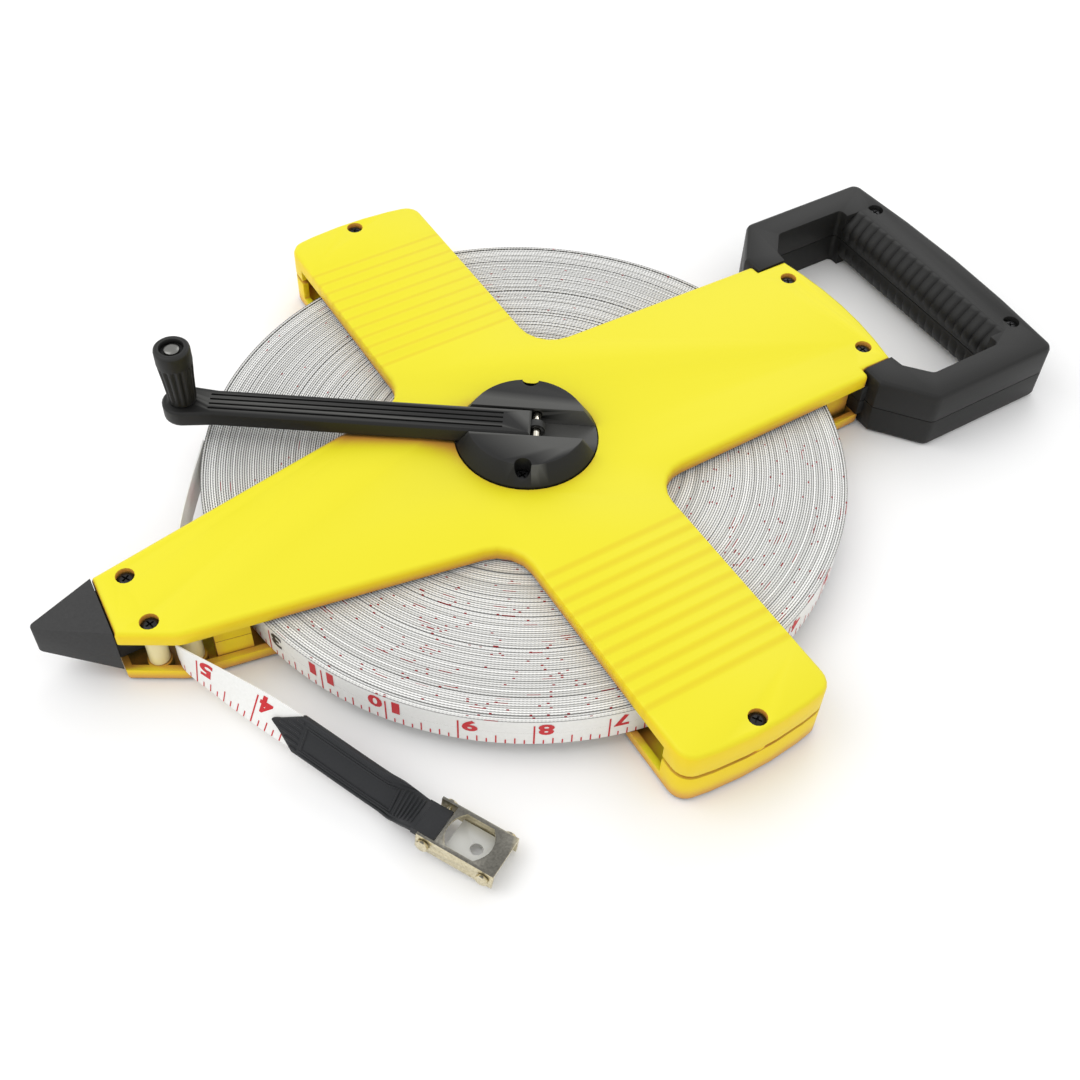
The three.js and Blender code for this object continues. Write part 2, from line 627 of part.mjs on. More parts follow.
function endSleeve() {
  const stations = [[0, 0.4], [SLEEVE_POINT, SLEEVE_HALF]];
  for (let x = SLEEVE_POCKET; x < SLEEVE_LENGTH; x += 3.1) {
    const narrow = THREE.MathUtils.smoothstep(x, TWIST_FROM, TWIST_TO - 4);
    stations.push([x, SLEEVE_HALF + (NECK_HALF - SLEEVE_HALF) * narrow]);
  }
  stations.push([SLEEVE_LENGTH, NECK_HALF]);
  const corners = [];
  for (const [x, half] of stations) {
    const section = onSleeve(x);
    for (const [a, b] of CORNERS) {
      corners.push(new THREE.Vector3(0, a * half, (b * SLEEVE_THICK) / 2).applyMatrix4(section));
    }
  }
  const lug = cut(
    box(SLEEVE_LENGTH - 1.2, HOOK_PIN + 2.4, -LUG_HALF, LUG_HALF, -1.4, 1.4),
    rod([HOOK_PIN, 0], RIVET_R + 0.2, -12, 12, 16),
  );
  const pocket = box(-2, SLEEVE_POCKET, -TAPE_WIDTH / 2 - GAP, TAPE_WIDTH / 2 + GAP, -0.6, 0.6);
  return cut(joined(squareLoft(corners), lug.transform(ON_HOOK.elements)), pocket.transform(ON_TAPE.elements));
}

function hookFrame() {
  const from = HOOK_PIN - 3;
  const inner = HOOK_HALF - SHEET;
  const channel = cut(
    box(from, HOOK_END, -HOOK_HALF, HOOK_HALF, -3.4, 3.4),
    box(from - 1, HOOK_END + 1, -inner, inner, -4, 3.4 - SHEET),
    box(from - 1, HOOK_PIN + 3.2, -inner, inner, 2, 4),
  );
  const window = [];
  for (let k = 0; k <= 8; k += 1) {
    const y = WINDOW_HALF * (k / 4 - 1);
    window.push([HOOK_PIN + 3.9 + (y * y) / 15.4, -y]);
  }
  for (let k = 0; k <= 8; k += 1) {
    const y = WINDOW_HALF * (k / 4 - 1);
    window.push([CLAW_PIN - 1.9 - (y * y) / 15.4, y]);
  }
  return cut(
    channel,
    prism(window.reverse(), 1, 5),
    rod([HOOK_PIN, 0], RIVET_R + 0.2, -12, 12, 16),
    rod([CLAW_PIN, 0], RIVET_R + 0.2, -12, 12, 16),
  );
}

function hookRivet(x) {
  const reach = HOOK_HALF + 0.3;
  return joined(
    rod([x, 0], RIVET_R, -reach - 0.6, reach + 0.6, 16),
    rod([x, 0], RIVET_HEAD_R, -reach - 1.1, -reach, 16),
    rod([x, 0], RIVET_HEAD_R, reach, reach + 1.1, 16),
  );
}

function hookClaw() {
  const half = HOOK_HALF - SHEET - GAP;
  const plate = cut(
    box(CLAW_PIN - 16, CLAW_PIN - 1, -half, half, -1.9, -1.1),
    post([CLAW_PIN - 7, 0], 2.2, -3, 0, 20),
  );
  const roll = rod([CLAW_PIN, 0], 2, -half, half, 20);
  const lip = box(CLAW_PIN - 16, CLAW_PIN - 15.2, -half, half, -3.2, -1.2);
  const web = box(CLAW_PIN - 1.8, CLAW_PIN - 0.4, -half, half, -1.9, -1.1);
  return cut(joined(plate, roll, lip, web), rod([CLAW_PIN, 0], RIVET_R + 0.2, -12, 12, 16));
}

// ---- assembly -----------------------------------------------------------------------------------------------
const finish = (color, roughness, metalness = 0) =>
  new THREE.MeshStandardMaterial({ color, roughness, metalness });

const YELLOW = 0xf0e61e;
const BLACK = 0x3c3c3a;
const reel = new THREE.Group();

function piece(name, solid, material, parent = reel) {
  const mesh = new THREE.Mesh(toGeometry(solid), material);
  mesh.name = name;
  parent.add(mesh);
}

piece("front_shell", shell(1, FRONT_WALL), finish(YELLOW, 0.4));
piece("rear_shell", shell(-1, REAR_WALL), finish(0xf2e318, 0.4));
piece("grip_front_half", gripHalf(1), finish(BLACK, 0.6));
piece("grip_rear_half", gripHalf(-1), finish(0x373735, 0.6));
piece("nose_tip", noseTip(), finish(0x555555, 0.55));

const FLUSH = THICK - HEAD_DEPTH;
const SIDES = ["far", "near"];
const blackened = finish(0x222222, 0.35, 0.8);
const steel = finish(0xb4b4b2, 0.25, 1);
NOSE_SCREWS.forEach((at, i) => piece(`nose_screw_${SIDES[i]}`, screw(at, 2, FLUSH), blackened));
TAIL_SCREWS.forEach((at, i) => piece(`tail_screw_${SIDES[i]}`, screw(at, 2, FLUSH), blackened));
ARM_SCREWS.forEach((at, i) => piece(`arm_screw_${SIDES[i]}`, screw(at, 2, FLUSH), blackened));
GRIP_SCREWS.forEach((at, i) => piece(`grip_screw_${SIDES[i]}`, screw(at, 3.4, FLUSH), blackened));

piece("nose_roller", roller(NOSE_SCREWS[1], SCREW_R + 0.1), finish(0xe6d99a, 0.35));
piece("side_roller", roller(SIDE_ROLLER, 1.3), finish(0xe6d99a, 0.35));
piece("side_roller_pin", post(SIDE_ROLLER, 1.2, 2, THICK - 2, 16), steel);

const bush = cut(
  post([0, 0], BUSH_R, CORE_LOW, POST_TOP, 40),
  post([0, 0], AXLE_R + GAP, CORE_LOW - 1, POST_TOP + 1, 40),
);
piece("axle_bush", bush, steel);
const WASHER_LOW = POST_TOP + GAP;
const washer = cut(
  post([0, 0], 9.2, WASHER_LOW, WASHER_LOW + 0.8, 32),
  post([0, 0], AXLE_SCREW_R + GAP, WASHER_LOW - 1, WASHER_LOW + 2, 16),
);
piece("axle_washer", washer, steel);
const HEAD_LOW = WASHER_LOW + 1.1;
const axleScrew = [[0, 9], [0.8, 9], [AXLE_SCREW_R, 10], [AXLE_SCREW_R, HEAD_LOW], [3.6, HEAD_LOW],
  [3.6, HEAD_LOW + 1.2], [2.6, HEAD_LOW + 1.7], [0, HEAD_LOW + 1.7]];
piece("axle_screw", turned(axleScrew, 20), steel);

piece("drum_core", drumCore(), finish(0xd8d0a0, 0.5));
piece("tape_coil", tapeCoil(), finish(0xe2e2da, 0.6));

const crank = new THREE.Group();
crank.rotation.z = CRANK_TURN;
reel.add(crank);
piece("crank_hub", crankHub(), finish(BLACK, 0.5), crank);
HUB_SCREW_PLACES.forEach((at, i) => piece(`hub_screw_${SIDES[i]}`, screw(at, 15, HUB_EDGE + 1.5), blackened));
piece("crank_hinge_pin", rod([HINGE_X, HINGE_Z], PIN_R, -12.2, 12.2), finish(0xc9c4b4, 0.25, 1), crank);
piece("crank_arm", crankArm(), finish(0x42423f, 0.5), crank);
piece("crank_knob", knob().translate([CRANK_REACH, 0, 0]), finish(BLACK, 0.5), crank);
piece("knob_pin", knobPin().translate([CRANK_REACH, 0, 0]), finish(0xc9c9c9, 0.2, 1), crank);

piece("tape_free_end", tapeBand(), finish(0xe6e6de, 0.5));
piece("end_sleeve", endSleeve(), finish(0x2e2f30, 0.5));
const hookGroup = new THREE.Group();
ON_HOOK.decompose(hookGroup.position, hookGroup.quaternion, hookGroup.scale);
reel.add(hookGroup);
const nickel = finish(0xd2cec2, 0.2, 1);
piece("hook_rivet_inner", hookRivet(HOOK_PIN), nickel, hookGroup);
piece("hook_frame", hookFrame(), nickel, hookGroup);
piece("hook_rivet_outer", hookRivet(CLAW_PIN), nickel, hookGroup);
piece("hook_claw", hookClaw(), finish(0xc6c6c2, 0.3, 1), hookGroup);

export default reel;
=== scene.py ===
# Open-frame surveyor's tape reel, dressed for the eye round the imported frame. Metres; MM turns the shop's
# millimetres into metres. The pieces come in the order that they would be put together.
import json
import math
import random

import bmesh
import bpy
import numpy as np
from mathutils import Matrix, Vector

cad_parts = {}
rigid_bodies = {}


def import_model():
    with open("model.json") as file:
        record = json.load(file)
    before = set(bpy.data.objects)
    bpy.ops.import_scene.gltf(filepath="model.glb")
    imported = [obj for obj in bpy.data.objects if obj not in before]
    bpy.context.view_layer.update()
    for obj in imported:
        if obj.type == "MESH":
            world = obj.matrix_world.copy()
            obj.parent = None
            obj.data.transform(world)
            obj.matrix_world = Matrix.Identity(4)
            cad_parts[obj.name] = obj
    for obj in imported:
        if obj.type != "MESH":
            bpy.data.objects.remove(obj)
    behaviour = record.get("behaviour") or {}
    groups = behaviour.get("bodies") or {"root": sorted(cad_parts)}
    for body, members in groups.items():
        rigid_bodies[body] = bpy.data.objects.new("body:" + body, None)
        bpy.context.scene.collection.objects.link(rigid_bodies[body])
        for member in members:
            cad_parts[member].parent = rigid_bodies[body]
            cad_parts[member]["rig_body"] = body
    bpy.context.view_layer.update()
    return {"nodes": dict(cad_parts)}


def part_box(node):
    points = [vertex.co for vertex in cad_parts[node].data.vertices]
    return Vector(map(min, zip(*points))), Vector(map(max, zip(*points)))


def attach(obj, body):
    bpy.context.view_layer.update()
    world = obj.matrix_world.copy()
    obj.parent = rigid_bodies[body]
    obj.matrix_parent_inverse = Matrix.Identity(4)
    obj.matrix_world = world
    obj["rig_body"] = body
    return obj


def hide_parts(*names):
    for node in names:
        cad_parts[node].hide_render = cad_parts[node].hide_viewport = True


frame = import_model()
nodes = frame["nodes"]
MM = 0.001
draw = random.Random(7)

# ---- Camera and studio ---------------------------------------------------------------------------------
# A short tele lens looks down on the crank side from beyond the tape's free end. The floor is a plain white
# sweep, and the light is soft from all round with one large box over the nose.
AZIMUTH = math.radians(-33.46)
ELEVATION = math.radians(50.16)
ROLL = math.radians(2.71)
back = Vector((
    math.sin(AZIMUTH) * math.cos(ELEVATION),
    -math.cos(AZIMUTH) * math.cos(ELEVATION),
    math.sin(ELEVATION),
))
level = (-back).cross(Vector((0, 0, 1))).normalized()
upright = back.cross(level)
camera_right = level * math.cos(ROLL) + upright * math.sin(ROLL)
camera_up = upright * math.cos(ROLL) - level * math.sin(ROLL)
camera_data = bpy.data.cameras.new("studio camera")
camera_data.lens = 45.86
camera_data.sensor_width = 36
camera = bpy.data.objects.new("studio camera", camera_data)
camera.matrix_world = Matrix.Translation(Vector((-195.2, -308.1, 402.9)) * MM) @ Matrix(
    (camera_right, camera_up, back)
).transposed().to_4x4()
bpy.context.scene.collection.objects.link(camera)
bpy.context.scene.camera = camera
bpy.context.scene.view_settings.view_transform = "Standard"


def new_material(name, colour, roughness, metallic=0.0):
    material = bpy.data.materials.new(name)
    material.use_nodes = True
    shader = material.node_tree.nodes["Principled BSDF"]
    shader.inputs["Base Color"].default_value = (*colour, 1)
    shader.inputs["Roughness"].default_value = roughness
    shader.inputs["Metallic"].default_value = metallic
    return material, material.node_tree, shader


def new_object(name, points, faces, material):
    mesh = bpy.data.meshes.new(name)
    mesh.from_pydata([tuple(p) for p in points], [], faces)
    mesh.update()
    mesh.materials.append(material)
    made = bpy.data.objects.new(name, mesh)
    bpy.context.scene.collection.objects.link(made)
    return made


floor_material = new_material("white sweep", (0.95, 0.95, 0.95), 0.9)[0]
FLOOR = 3.0
floor = new_object(
    "floor",
    [(-FLOOR, -FLOOR, -0.0003), (FLOOR, -FLOOR, -0.0003), (FLOOR, FLOOR, -0.0003), (-FLOOR, FLOOR, -0.0003)],
    [(0, 1, 2, 3)],
    floor_material,
)

world = bpy.data.worlds.new("soft surround")
world.use_nodes = True
world.node_tree.nodes["Background"].inputs["Color"].default_value = (1, 1, 1, 1)
world.node_tree.nodes["Background"].inputs["Strength"].default_value = 0.97
bpy.context.scene.world = world


def softbox(name, place, aim, size, power):
    data = bpy.data.lights.new(name, "AREA")
    data.shape = "SQUARE"
    data.size = size
    data.energy = power
    lamp = bpy.data.objects.new(name, data)
    lamp.location = place
    lamp.rotation_mode = "QUATERNION"
    lamp.rotation_quaternion = (Vector(aim) - Vector(place)).to_track_quat("-Z", "Y")
    bpy.context.scene.collection.objects.link(lamp)


softbox("box over the nose", (-0.7, 0.35, 1.1), (0, 0, 0), 0.9, 4)
softbox("box over the grip", (0.9, 0.7, 0.9), (0, 0, 0), 0.7, 2)

# ---- Free end of the tape ------------------------------------------------------------------------------
# A coated glass-fibre tape, 13 mm wide, leaves the coil, bends between the two guide rollers and stands out
# of the mouth nearly on edge. It is printed in red on its outer face, in inches and eighths.
TAPE_WIDTH = 13
TAPE_THICK = 0.5
# Each place is [x, y, z, lean in degrees], in millimetres, as in the part's source.
ROUTE = [
    (-104.5, 65.6, 13, 0), (-116.6, 48.6, 13, 0), (-127.6, 31.4, 13, 0), (-138, 12, 13, 0),
    (-145.3, -3.5, 13, 0), (-148.4, -12, 13, 0), (-149.2, -17.2, 13, 0), (-148.9, -20.8, 13, 2),
    (-147.5, -24.4, 13, 6), (-143.2, -33.4, 12.7, 14), (-138.9, -42.4, 12.4, 23), (-134.5, -51.4, 12, 31),
    (-131.73, -57.28, 11.78, 34), (-125.89, -69.44, 11.3, 34),
]
SLEEVE_POCKET = 14
INCH = 25.4


def smoothed(places, step):
    """Points on a smooth line through the places, about a step apart, with the first and last kept."""
    places = np.array(places, float)
    padded = np.vstack([2 * places[0] - places[1], places, 2 * places[-1] - places[-2]])
    line = []
    for a, b, c, d in zip(padded, padded[1:], padded[2:], padded[3:]):
        count = max(2, round(np.linalg.norm(c[:3] - b[:3]) / step))
        for t in np.arange(count) / count:
            line.append(0.5 * (2 * b + (c - a) * t + (2 * a - 5 * b + 4 * c - d) * t**2
                               + (3 * b - a - 3 * c + d) * t**3))
    line.append(places[-1])
    return np.array(line)


def across(run, lean):
    level_way = np.cross([0, 0, 1], run)
    level_way = level_way / np.linalg.norm(level_way)
    return np.cross(run, level_way) * math.cos(lean) + level_way * math.sin(lean)


class TapeLine:
    """The tape's centreline with its run, width and face directions, found by the distance along it."""

    def __init__(self, places):
        self.line = smoothed(places, 0.8)
        gaps = np.linalg.norm(np.diff(self.line[:, :3], axis=0), axis=1)
        self.along = np.concatenate([[0], np.cumsum(gaps)])
        self.length = self.along[-1]

    def at(self, s):
        here = np.array([np.interp(s, self.along, self.line[:, k]) for k in range(4)])
        ahead = np.array([np.interp(s + 1, self.along, self.line[:, k]) for k in range(3)])
        behind = np.array([np.interp(s - 1, self.along, self.line[:, k]) for k in range(3)])
        run = (ahead - behind) / np.linalg.norm(ahead - behind)
        wide = across(run, math.radians(here[3]))
        return here[:3], run, wide, np.cross(run, wide)


free_tape = TapeLine(ROUTE)
SECTION = [(-0.5, -0.5), (0.5, -0.5), (0.5, 0.5), (-0.5, 0.5)]


def tape_band(name, tape, material):
    columns = np.linspace(-0.5, 0.5, 9)
    section = [(a, -0.5) for a in columns] + [(a, 0.5) for a in columns[::-1]]
    count = len(section)
    points = []
    for s in tape.along:
        place, _, wide, face = tape.at(s)
        for a, b in section:
            points.append((place + wide * a * TAPE_WIDTH + face * b * TAPE_THICK) * MM)
    last = count * (len(tape.along) - 1)
    faces = [tuple(range(count))[::-1], tuple(range(last, last + count))]
    for i in range(0, last, count):
        for k in range(count):
            n = (k + 1) % count
            faces.append((i + k, i + n, i + count + n, i + count + k))
    return new_object(name, points, faces, material)


def shade(piece, angle=40):
    """Smooth shading, with edges sharper than the angle kept crisp."""
    piece.data.shade_smooth()
    piece.data.set_sharp_from_angle(angle=math.radians(angle))
    return piece


def sockets(tree, places, way):
    for name, kind in places:
        tree.interface.new_socket(name, in_out=way, socket_type=kind)


def mottle_group():
    """Fine mottling from the object's own coordinates: a mask from 0 to 1, and a bumped normal."""
    tree = bpy.data.node_groups.new("fine mottle", "ShaderNodeTree")
    sockets(tree, [("Scale", "NodeSocketFloat"), ("Height", "NodeSocketFloat")], "INPUT")
    sockets(tree, [("Mask", "NodeSocketFloat"), ("Normal", "NodeSocketVector")], "OUTPUT")
    start = tree.nodes.new("NodeGroupInput")
    end = tree.nodes.new("NodeGroupOutput")
    place = tree.nodes.new("ShaderNodeTexCoord")
    noise = tree.nodes.new("ShaderNodeTexNoise")
    noise.inputs["Detail"].default_value = 3
    bump = tree.nodes.new("ShaderNodeBump")
    bump.inputs["Distance"].default_value = 0.1 * MM
    tree.links.new(place.outputs["Object"], noise.inputs["Vector"])
    tree.links.new(start.outputs["Scale"], noise.inputs["Scale"])
    tree.links.new(start.outputs["Height"], bump.inputs["Strength"])
    tree.links.new(noise.outputs["Fac"], bump.inputs["Height"])
    tree.links.new(noise.outputs["Fac"], end.inputs["Mask"])
    tree.links.new(bump.outputs["Normal"], end.inputs["Normal"])
    return tree


MOTTLE = mottle_group()


def mottled(tree, shader, scale, height):
    """Adds the mottle's normal to a material and returns its mask."""
    node = tree.nodes.new("ShaderNodeGroup")
    node.node_tree = MOTTLE
    node.inputs["Scale"].default_value = scale
    node.inputs["Height"].default_value = height
    tree.links.new(node.outputs["Normal"], shader.inputs["Normal"])
    return node.outputs["Mask"]


def blend_colours(tree, factor, first, second):
    mix = tree.nodes.new("ShaderNodeMix")
    mix.data_type = "RGBA"
    for k, side in ((6, first), (7, second)):
        if isinstance(side, tuple):
            mix.inputs[k].default_value = (*side, 1)
        else:
            tree.links.new(side, mix.inputs[k])
    tree.links.new(factor, mix.inputs[0])
    return mix.outputs[2]


def tape_material():
    material, tree, shader = new_material("coated glass-fibre tape", (0.83, 0.83, 0.8), 0.42)
    mask = mottled(tree, shader, 900, 0.12)
    coating = blend_colours(tree, mask, (0.78, 0.78, 0.75), (0.88, 0.88, 0.86))
    tree.links.new(coating, shader.inputs["Base Color"])
    return material


TAPE = tape_material()
RED_INK = new_material("red ink", (0.56, 0.006, 0.014), 0.5)[0]
BLACK_INK = new_material("black ink", (0.02, 0.02, 0.02), 0.5)[0]


def glyph_outline(mark):
    """The flat shape of one printed figure, centred, as wide and tall as the tape's heavy figures."""
    curve = bpy.data.curves.new("figure", "FONT")
    curve.body = mark
    curve.offset = 0.0 if mark == "1" else 0.04
    curve.resolution_u = 3
    holder = bpy.data.objects.new("figure", curve)
    bpy.context.scene.collection.objects.link(holder)
    mesh = bpy.data.meshes.new_from_object(holder)
    points = np.array([v.co[:2] for v in mesh.vertices])
    faces = [tuple(p.vertices) for p in mesh.polygons]
    bpy.data.objects.remove(holder)
    low, high = points.min(axis=0), points.max(axis=0)
    size = np.array([2.9 if mark == "1" else 5.4, 6.4])
    return (points - (low + high) / 2) / (high - low) * size, faces


GLYPHS = {mark: glyph_outline(mark) for mark in "0123456789"}
FIGURE_HEIGHT = 2.2  # the figures' middle, above the middle of the tape
INK = 0.07  # how proud the print stands, so that it doesn't flicker into the tape


def printed(name, labels, lines, lay, material):
    """Figures and lines laid on a tape. lay(s, v, out) gives a point from the distance along and across."""
    points, faces = [], []
    for label, s in labels:
        offsets = [4] if len(label) == 1 else [3.8, -3.8]
        for mark, offset in zip(label, offsets):
            shape, cells = GLYPHS[mark]
            start = len(points)
            for u, v in shape:
                points.append(lay(s + offset - u, FIGURE_HEIGHT - v, INK))
            faces += [tuple(start + k for k in cell) for cell in cells]
    for s, low, high, half in lines:
        start = len(points)
        for u, v in ((-half, low), (half, low), (half, high), (-half, high)):
            points.append(lay(s + u, v, INK))
        faces.append((start, start + 1, start + 2, start + 3))
    return new_object(name, [Vector(p) * MM for p in points], faces, material)


def inch_ticks(s, way=1):
    """The lines of one inch: the inch line, then eighths of three lengths along the lower edge."""
    half = TAPE_WIDTH / 2
    lines = [(s, -half + 0.1, half - 2, 0.3)]
    for k in range(1, 8):
        reach = 4.6 if k == 4 else 3.4 if k % 2 == 0 else 2.4
        lines.append((s + way * k * INCH / 8, -half + 0.1, -half + reach, 0.24))
    return lines


free_end = shade(tape_band("free_tape", free_tape, TAPE), 30)
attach(free_end, "frame")
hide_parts("tape_free_end")

POINT_S = free_tape.length - SLEEVE_POCKET + 0.5
FOUR_LINE = POINT_S - 8.1  # the 4 inch line stands this far short of the sleeve's point


def on_free_tape(s, v, out):
    place, _, wide, face = free_tape.at(s)
    return place + wide * v + face * (TAPE_THICK / 2 + out)


free_labels = [(str(n), FOUR_LINE - (n - 4) * INCH) for n in (4, 5, 6, 7, 8)]
free_lines = []
for _, line_s in free_labels:
    free_lines += inch_ticks(line_s, 1)
free_lines = [line for line in free_lines if line[0] < POINT_S + 5]
free_print = printed("free_tape_print", free_labels, free_lines, on_free_tape, RED_INK)
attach(free_print, "frame")

# ---- Rear shell, front shell ---------------------------------------------------------------------------
# Two injection-moulded crosses in a bright yellow plastic with a satin skin. Soft waves are moulded across
# the arms and the outer edges are well rounded. The sides, the wave hollows and the enclosed inside faces are
# painted in shade, the inside faces amber to nearly brown.
WAVE_START = 60
WAVE_PITCH = 6.25
WAVE_COUNT = 11
WAVE_SHADE = 0.42  # how much painted shade darkens the hollow of a wave
SHADE_REACH = 14  # painted shade: faces with another wall nearer than this are painted amber to dark brown


def node_maths(tree, kind, *values):
    """A math node of a material, fed with numbers or with other nodes' outputs."""
    node = tree.nodes.new("ShaderNodeMath")
    node.operation = kind
    for k, value in enumerate(values):
        if isinstance(value, (int, float)):
            node.inputs[k].default_value = value
        else:
            tree.links.new(value, node.inputs[k])
    return node.outputs[0]


def yellow_material():
    material, tree, shader = new_material("yellow shell plastic", (0.8, 0.7, 0.012), 0.46)
    shader.inputs["Specular IOR Level"].default_value = 0.35
    mottled(tree, shader, 500, 0.06)
    # Painted shade: faces that turn to the side are painted a deeper orange than the tops.
    facing = tree.nodes.new("ShaderNodeNewGeometry")
    split = tree.nodes.new("ShaderNodeSeparateXYZ")
    side_shade = tree.nodes.new("ShaderNodeMapRange")
    side_shade.inputs["From Min"].default_value = 0.2
    side_shade.inputs["From Max"].default_value = 0.95
    tree.links.new(facing.outputs["Normal"], split.inputs["Vector"])
    tree.links.new(node_maths(tree, "ABSOLUTE", split.outputs["Z"]), side_shade.inputs["Value"])
    shaded_skin = blend_colours(tree, side_shade.outputs["Result"], (0.84, 0.62, 0.002), (0.8, 0.72, 0.012))
    # Painted shade: enclosed faces, found by ambient occlusion, are painted amber, and the deepest ones
    # nearly brown.
    occlusion_shade = tree.nodes.new("ShaderNodeAmbientOcclusion")
    occlusion_shade.samples = 8
    occlusion_shade.inputs["Distance"].default_value = SHADE_REACH * MM
    depth = tree.nodes.new("ShaderNodeValToRGB")
    depth.color_ramp.elements[0].position = 0.12
    depth.color_ramp.elements[0].color = (0.075, 0.07, 0.015, 1)
    depth.color_ramp.elements[1].position = 0.42
    depth.color_ramp.elements[1].color = (0.66, 0.3, 0.05, 1)
    tree.links.new(occlusion_shade.outputs["AO"], depth.inputs["Fac"])
    reach = tree.nodes.new("ShaderNodeMapRange")
    reach.inputs["From Min"].default_value = 0.52
    reach.inputs["From Max"].default_value = 0.78
    tree.links.new(occlusion_shade.outputs["AO"], reach.inputs["Value"])
    # Painted shade: the hollow of each wave across the arms is painted a little darker.
    place = tree.nodes.new("ShaderNodeTexCoord")
    axes = tree.nodes.new("ShaderNodeSeparateXYZ")
    tree.links.new(place.outputs["Object"], axes.inputs["Vector"])
    along = node_maths(tree, "ABSOLUTE", axes.outputs["Y"])
    past_start = node_maths(tree, "SUBTRACT", along, WAVE_START * MM)
    step = node_maths(tree, "DIVIDE", past_start, WAVE_PITCH * MM)
    swing = node_maths(tree, "SINE", node_maths(tree, "MULTIPLY", step, 2 * math.pi))
    begun = node_maths(tree, "GREATER_THAN", step, 0.0)
    not_done = node_maths(tree, "LESS_THAN", step, float(WAVE_COUNT))
    on_arm = node_maths(tree, "MULTIPLY", begun, not_done)
    hollow_shade = node_maths(tree, "MULTIPLY", node_maths(tree, "MAXIMUM", swing, 0.0), on_arm)
    wave_shade_mask = node_maths(tree, "MULTIPLY", hollow_shade, WAVE_SHADE)
    shaded_skin = blend_colours(tree, wave_shade_mask, shaded_skin, (0.72, 0.5, 0.004))
    colour = blend_colours(tree, reach.outputs["Result"], depth.outputs["Color"], shaded_skin)
    tree.links.new(colour, shader.inputs["Base Color"])
    return material


YELLOW = yellow_material()


def settled(piece):
    """Turns what a piece's modifiers make into its own mesh, and takes the modifiers off."""
    bpy.context.view_layer.update()
    view = piece.evaluated_get(bpy.context.evaluated_depsgraph_get())
    mesh = bpy.data.meshes.new_from_object(view)
    piece.modifiers.clear()
    piece.data = mesh
    return piece


def refined(node, material, width=0.25, sharp=35, segments=2, smooth=42):
    """A CAD piece with its sharp edges eased and its round faces shaded smooth."""
    source = nodes[node]
    mesh = source.data.copy()
    for spare in ("custom_normal", "UVMap"):
        if spare in mesh.attributes:
            mesh.attributes.remove(mesh.attributes[spare])
    form = bmesh.new()
    form.from_mesh(mesh)
    bmesh.ops.remove_doubles(form, verts=form.verts, dist=2e-6)
    bmesh.ops.dissolve_limit(form, angle_limit=math.radians(0.6), verts=form.verts, edges=form.edges)
    form.to_mesh(mesh)
    form.free()
    mesh.materials.clear()
    mesh.materials.append(material)
    piece = bpy.data.objects.new(f"{node}_piece", mesh)
    bpy.context.scene.collection.objects.link(piece)
    if width > 0:
        ease = piece.modifiers.new("eased edges", "BEVEL")
        ease.width = width * MM
        ease.segments = segments
        ease.limit_method = "ANGLE"
        ease.angle_limit = math.radians(sharp)
        ease.use_clamp_overlap = True
        settled(piece)
    shade(piece, smooth)
    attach(piece, source["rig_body"])
    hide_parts(node)
    return piece


refined("rear_shell", YELLOW, 0.25, 60, 2, 50)
refined("front_shell", YELLOW, 0.25, 60, 2, 50)

# ---- Hand grip -----------------------------------------------------------------------------------------
# Two halves in black plastic with a fine spark-eroded texture, joined along a seam at mid height. The finger
# side is rounded off and carries a row of soft rings.
def black_material(name, colour, roughness, scale=1600, height=0.35):
    material, tree, shader = new_material(name, colour, roughness)
    shader.inputs["Specular IOR Level"].default_value = 0.32
    mask = mottled(tree, shader, scale, height)
    darker = tuple(0.8 * c for c in colour)
    lighter = tuple(1.25 * c for c in colour)
    tree.links.new(blend_colours(tree, mask, darker, lighter), shader.inputs["Base Color"])
    return material


BLACK = black_material("black grip plastic", (0.0095, 0.0095, 0.009), 0.5)
refined("grip_rear_half", BLACK, 0.35, 30)
refined("grip_front_half", BLACK, 0.35, 30)

RING_COUNT = 19
RING_SPAN = 94
RING_HEIGHT = 0.8
RING_TOP_X = 204.6  # the rings run out into the grip's flat face here
GRIP_THICK = 27


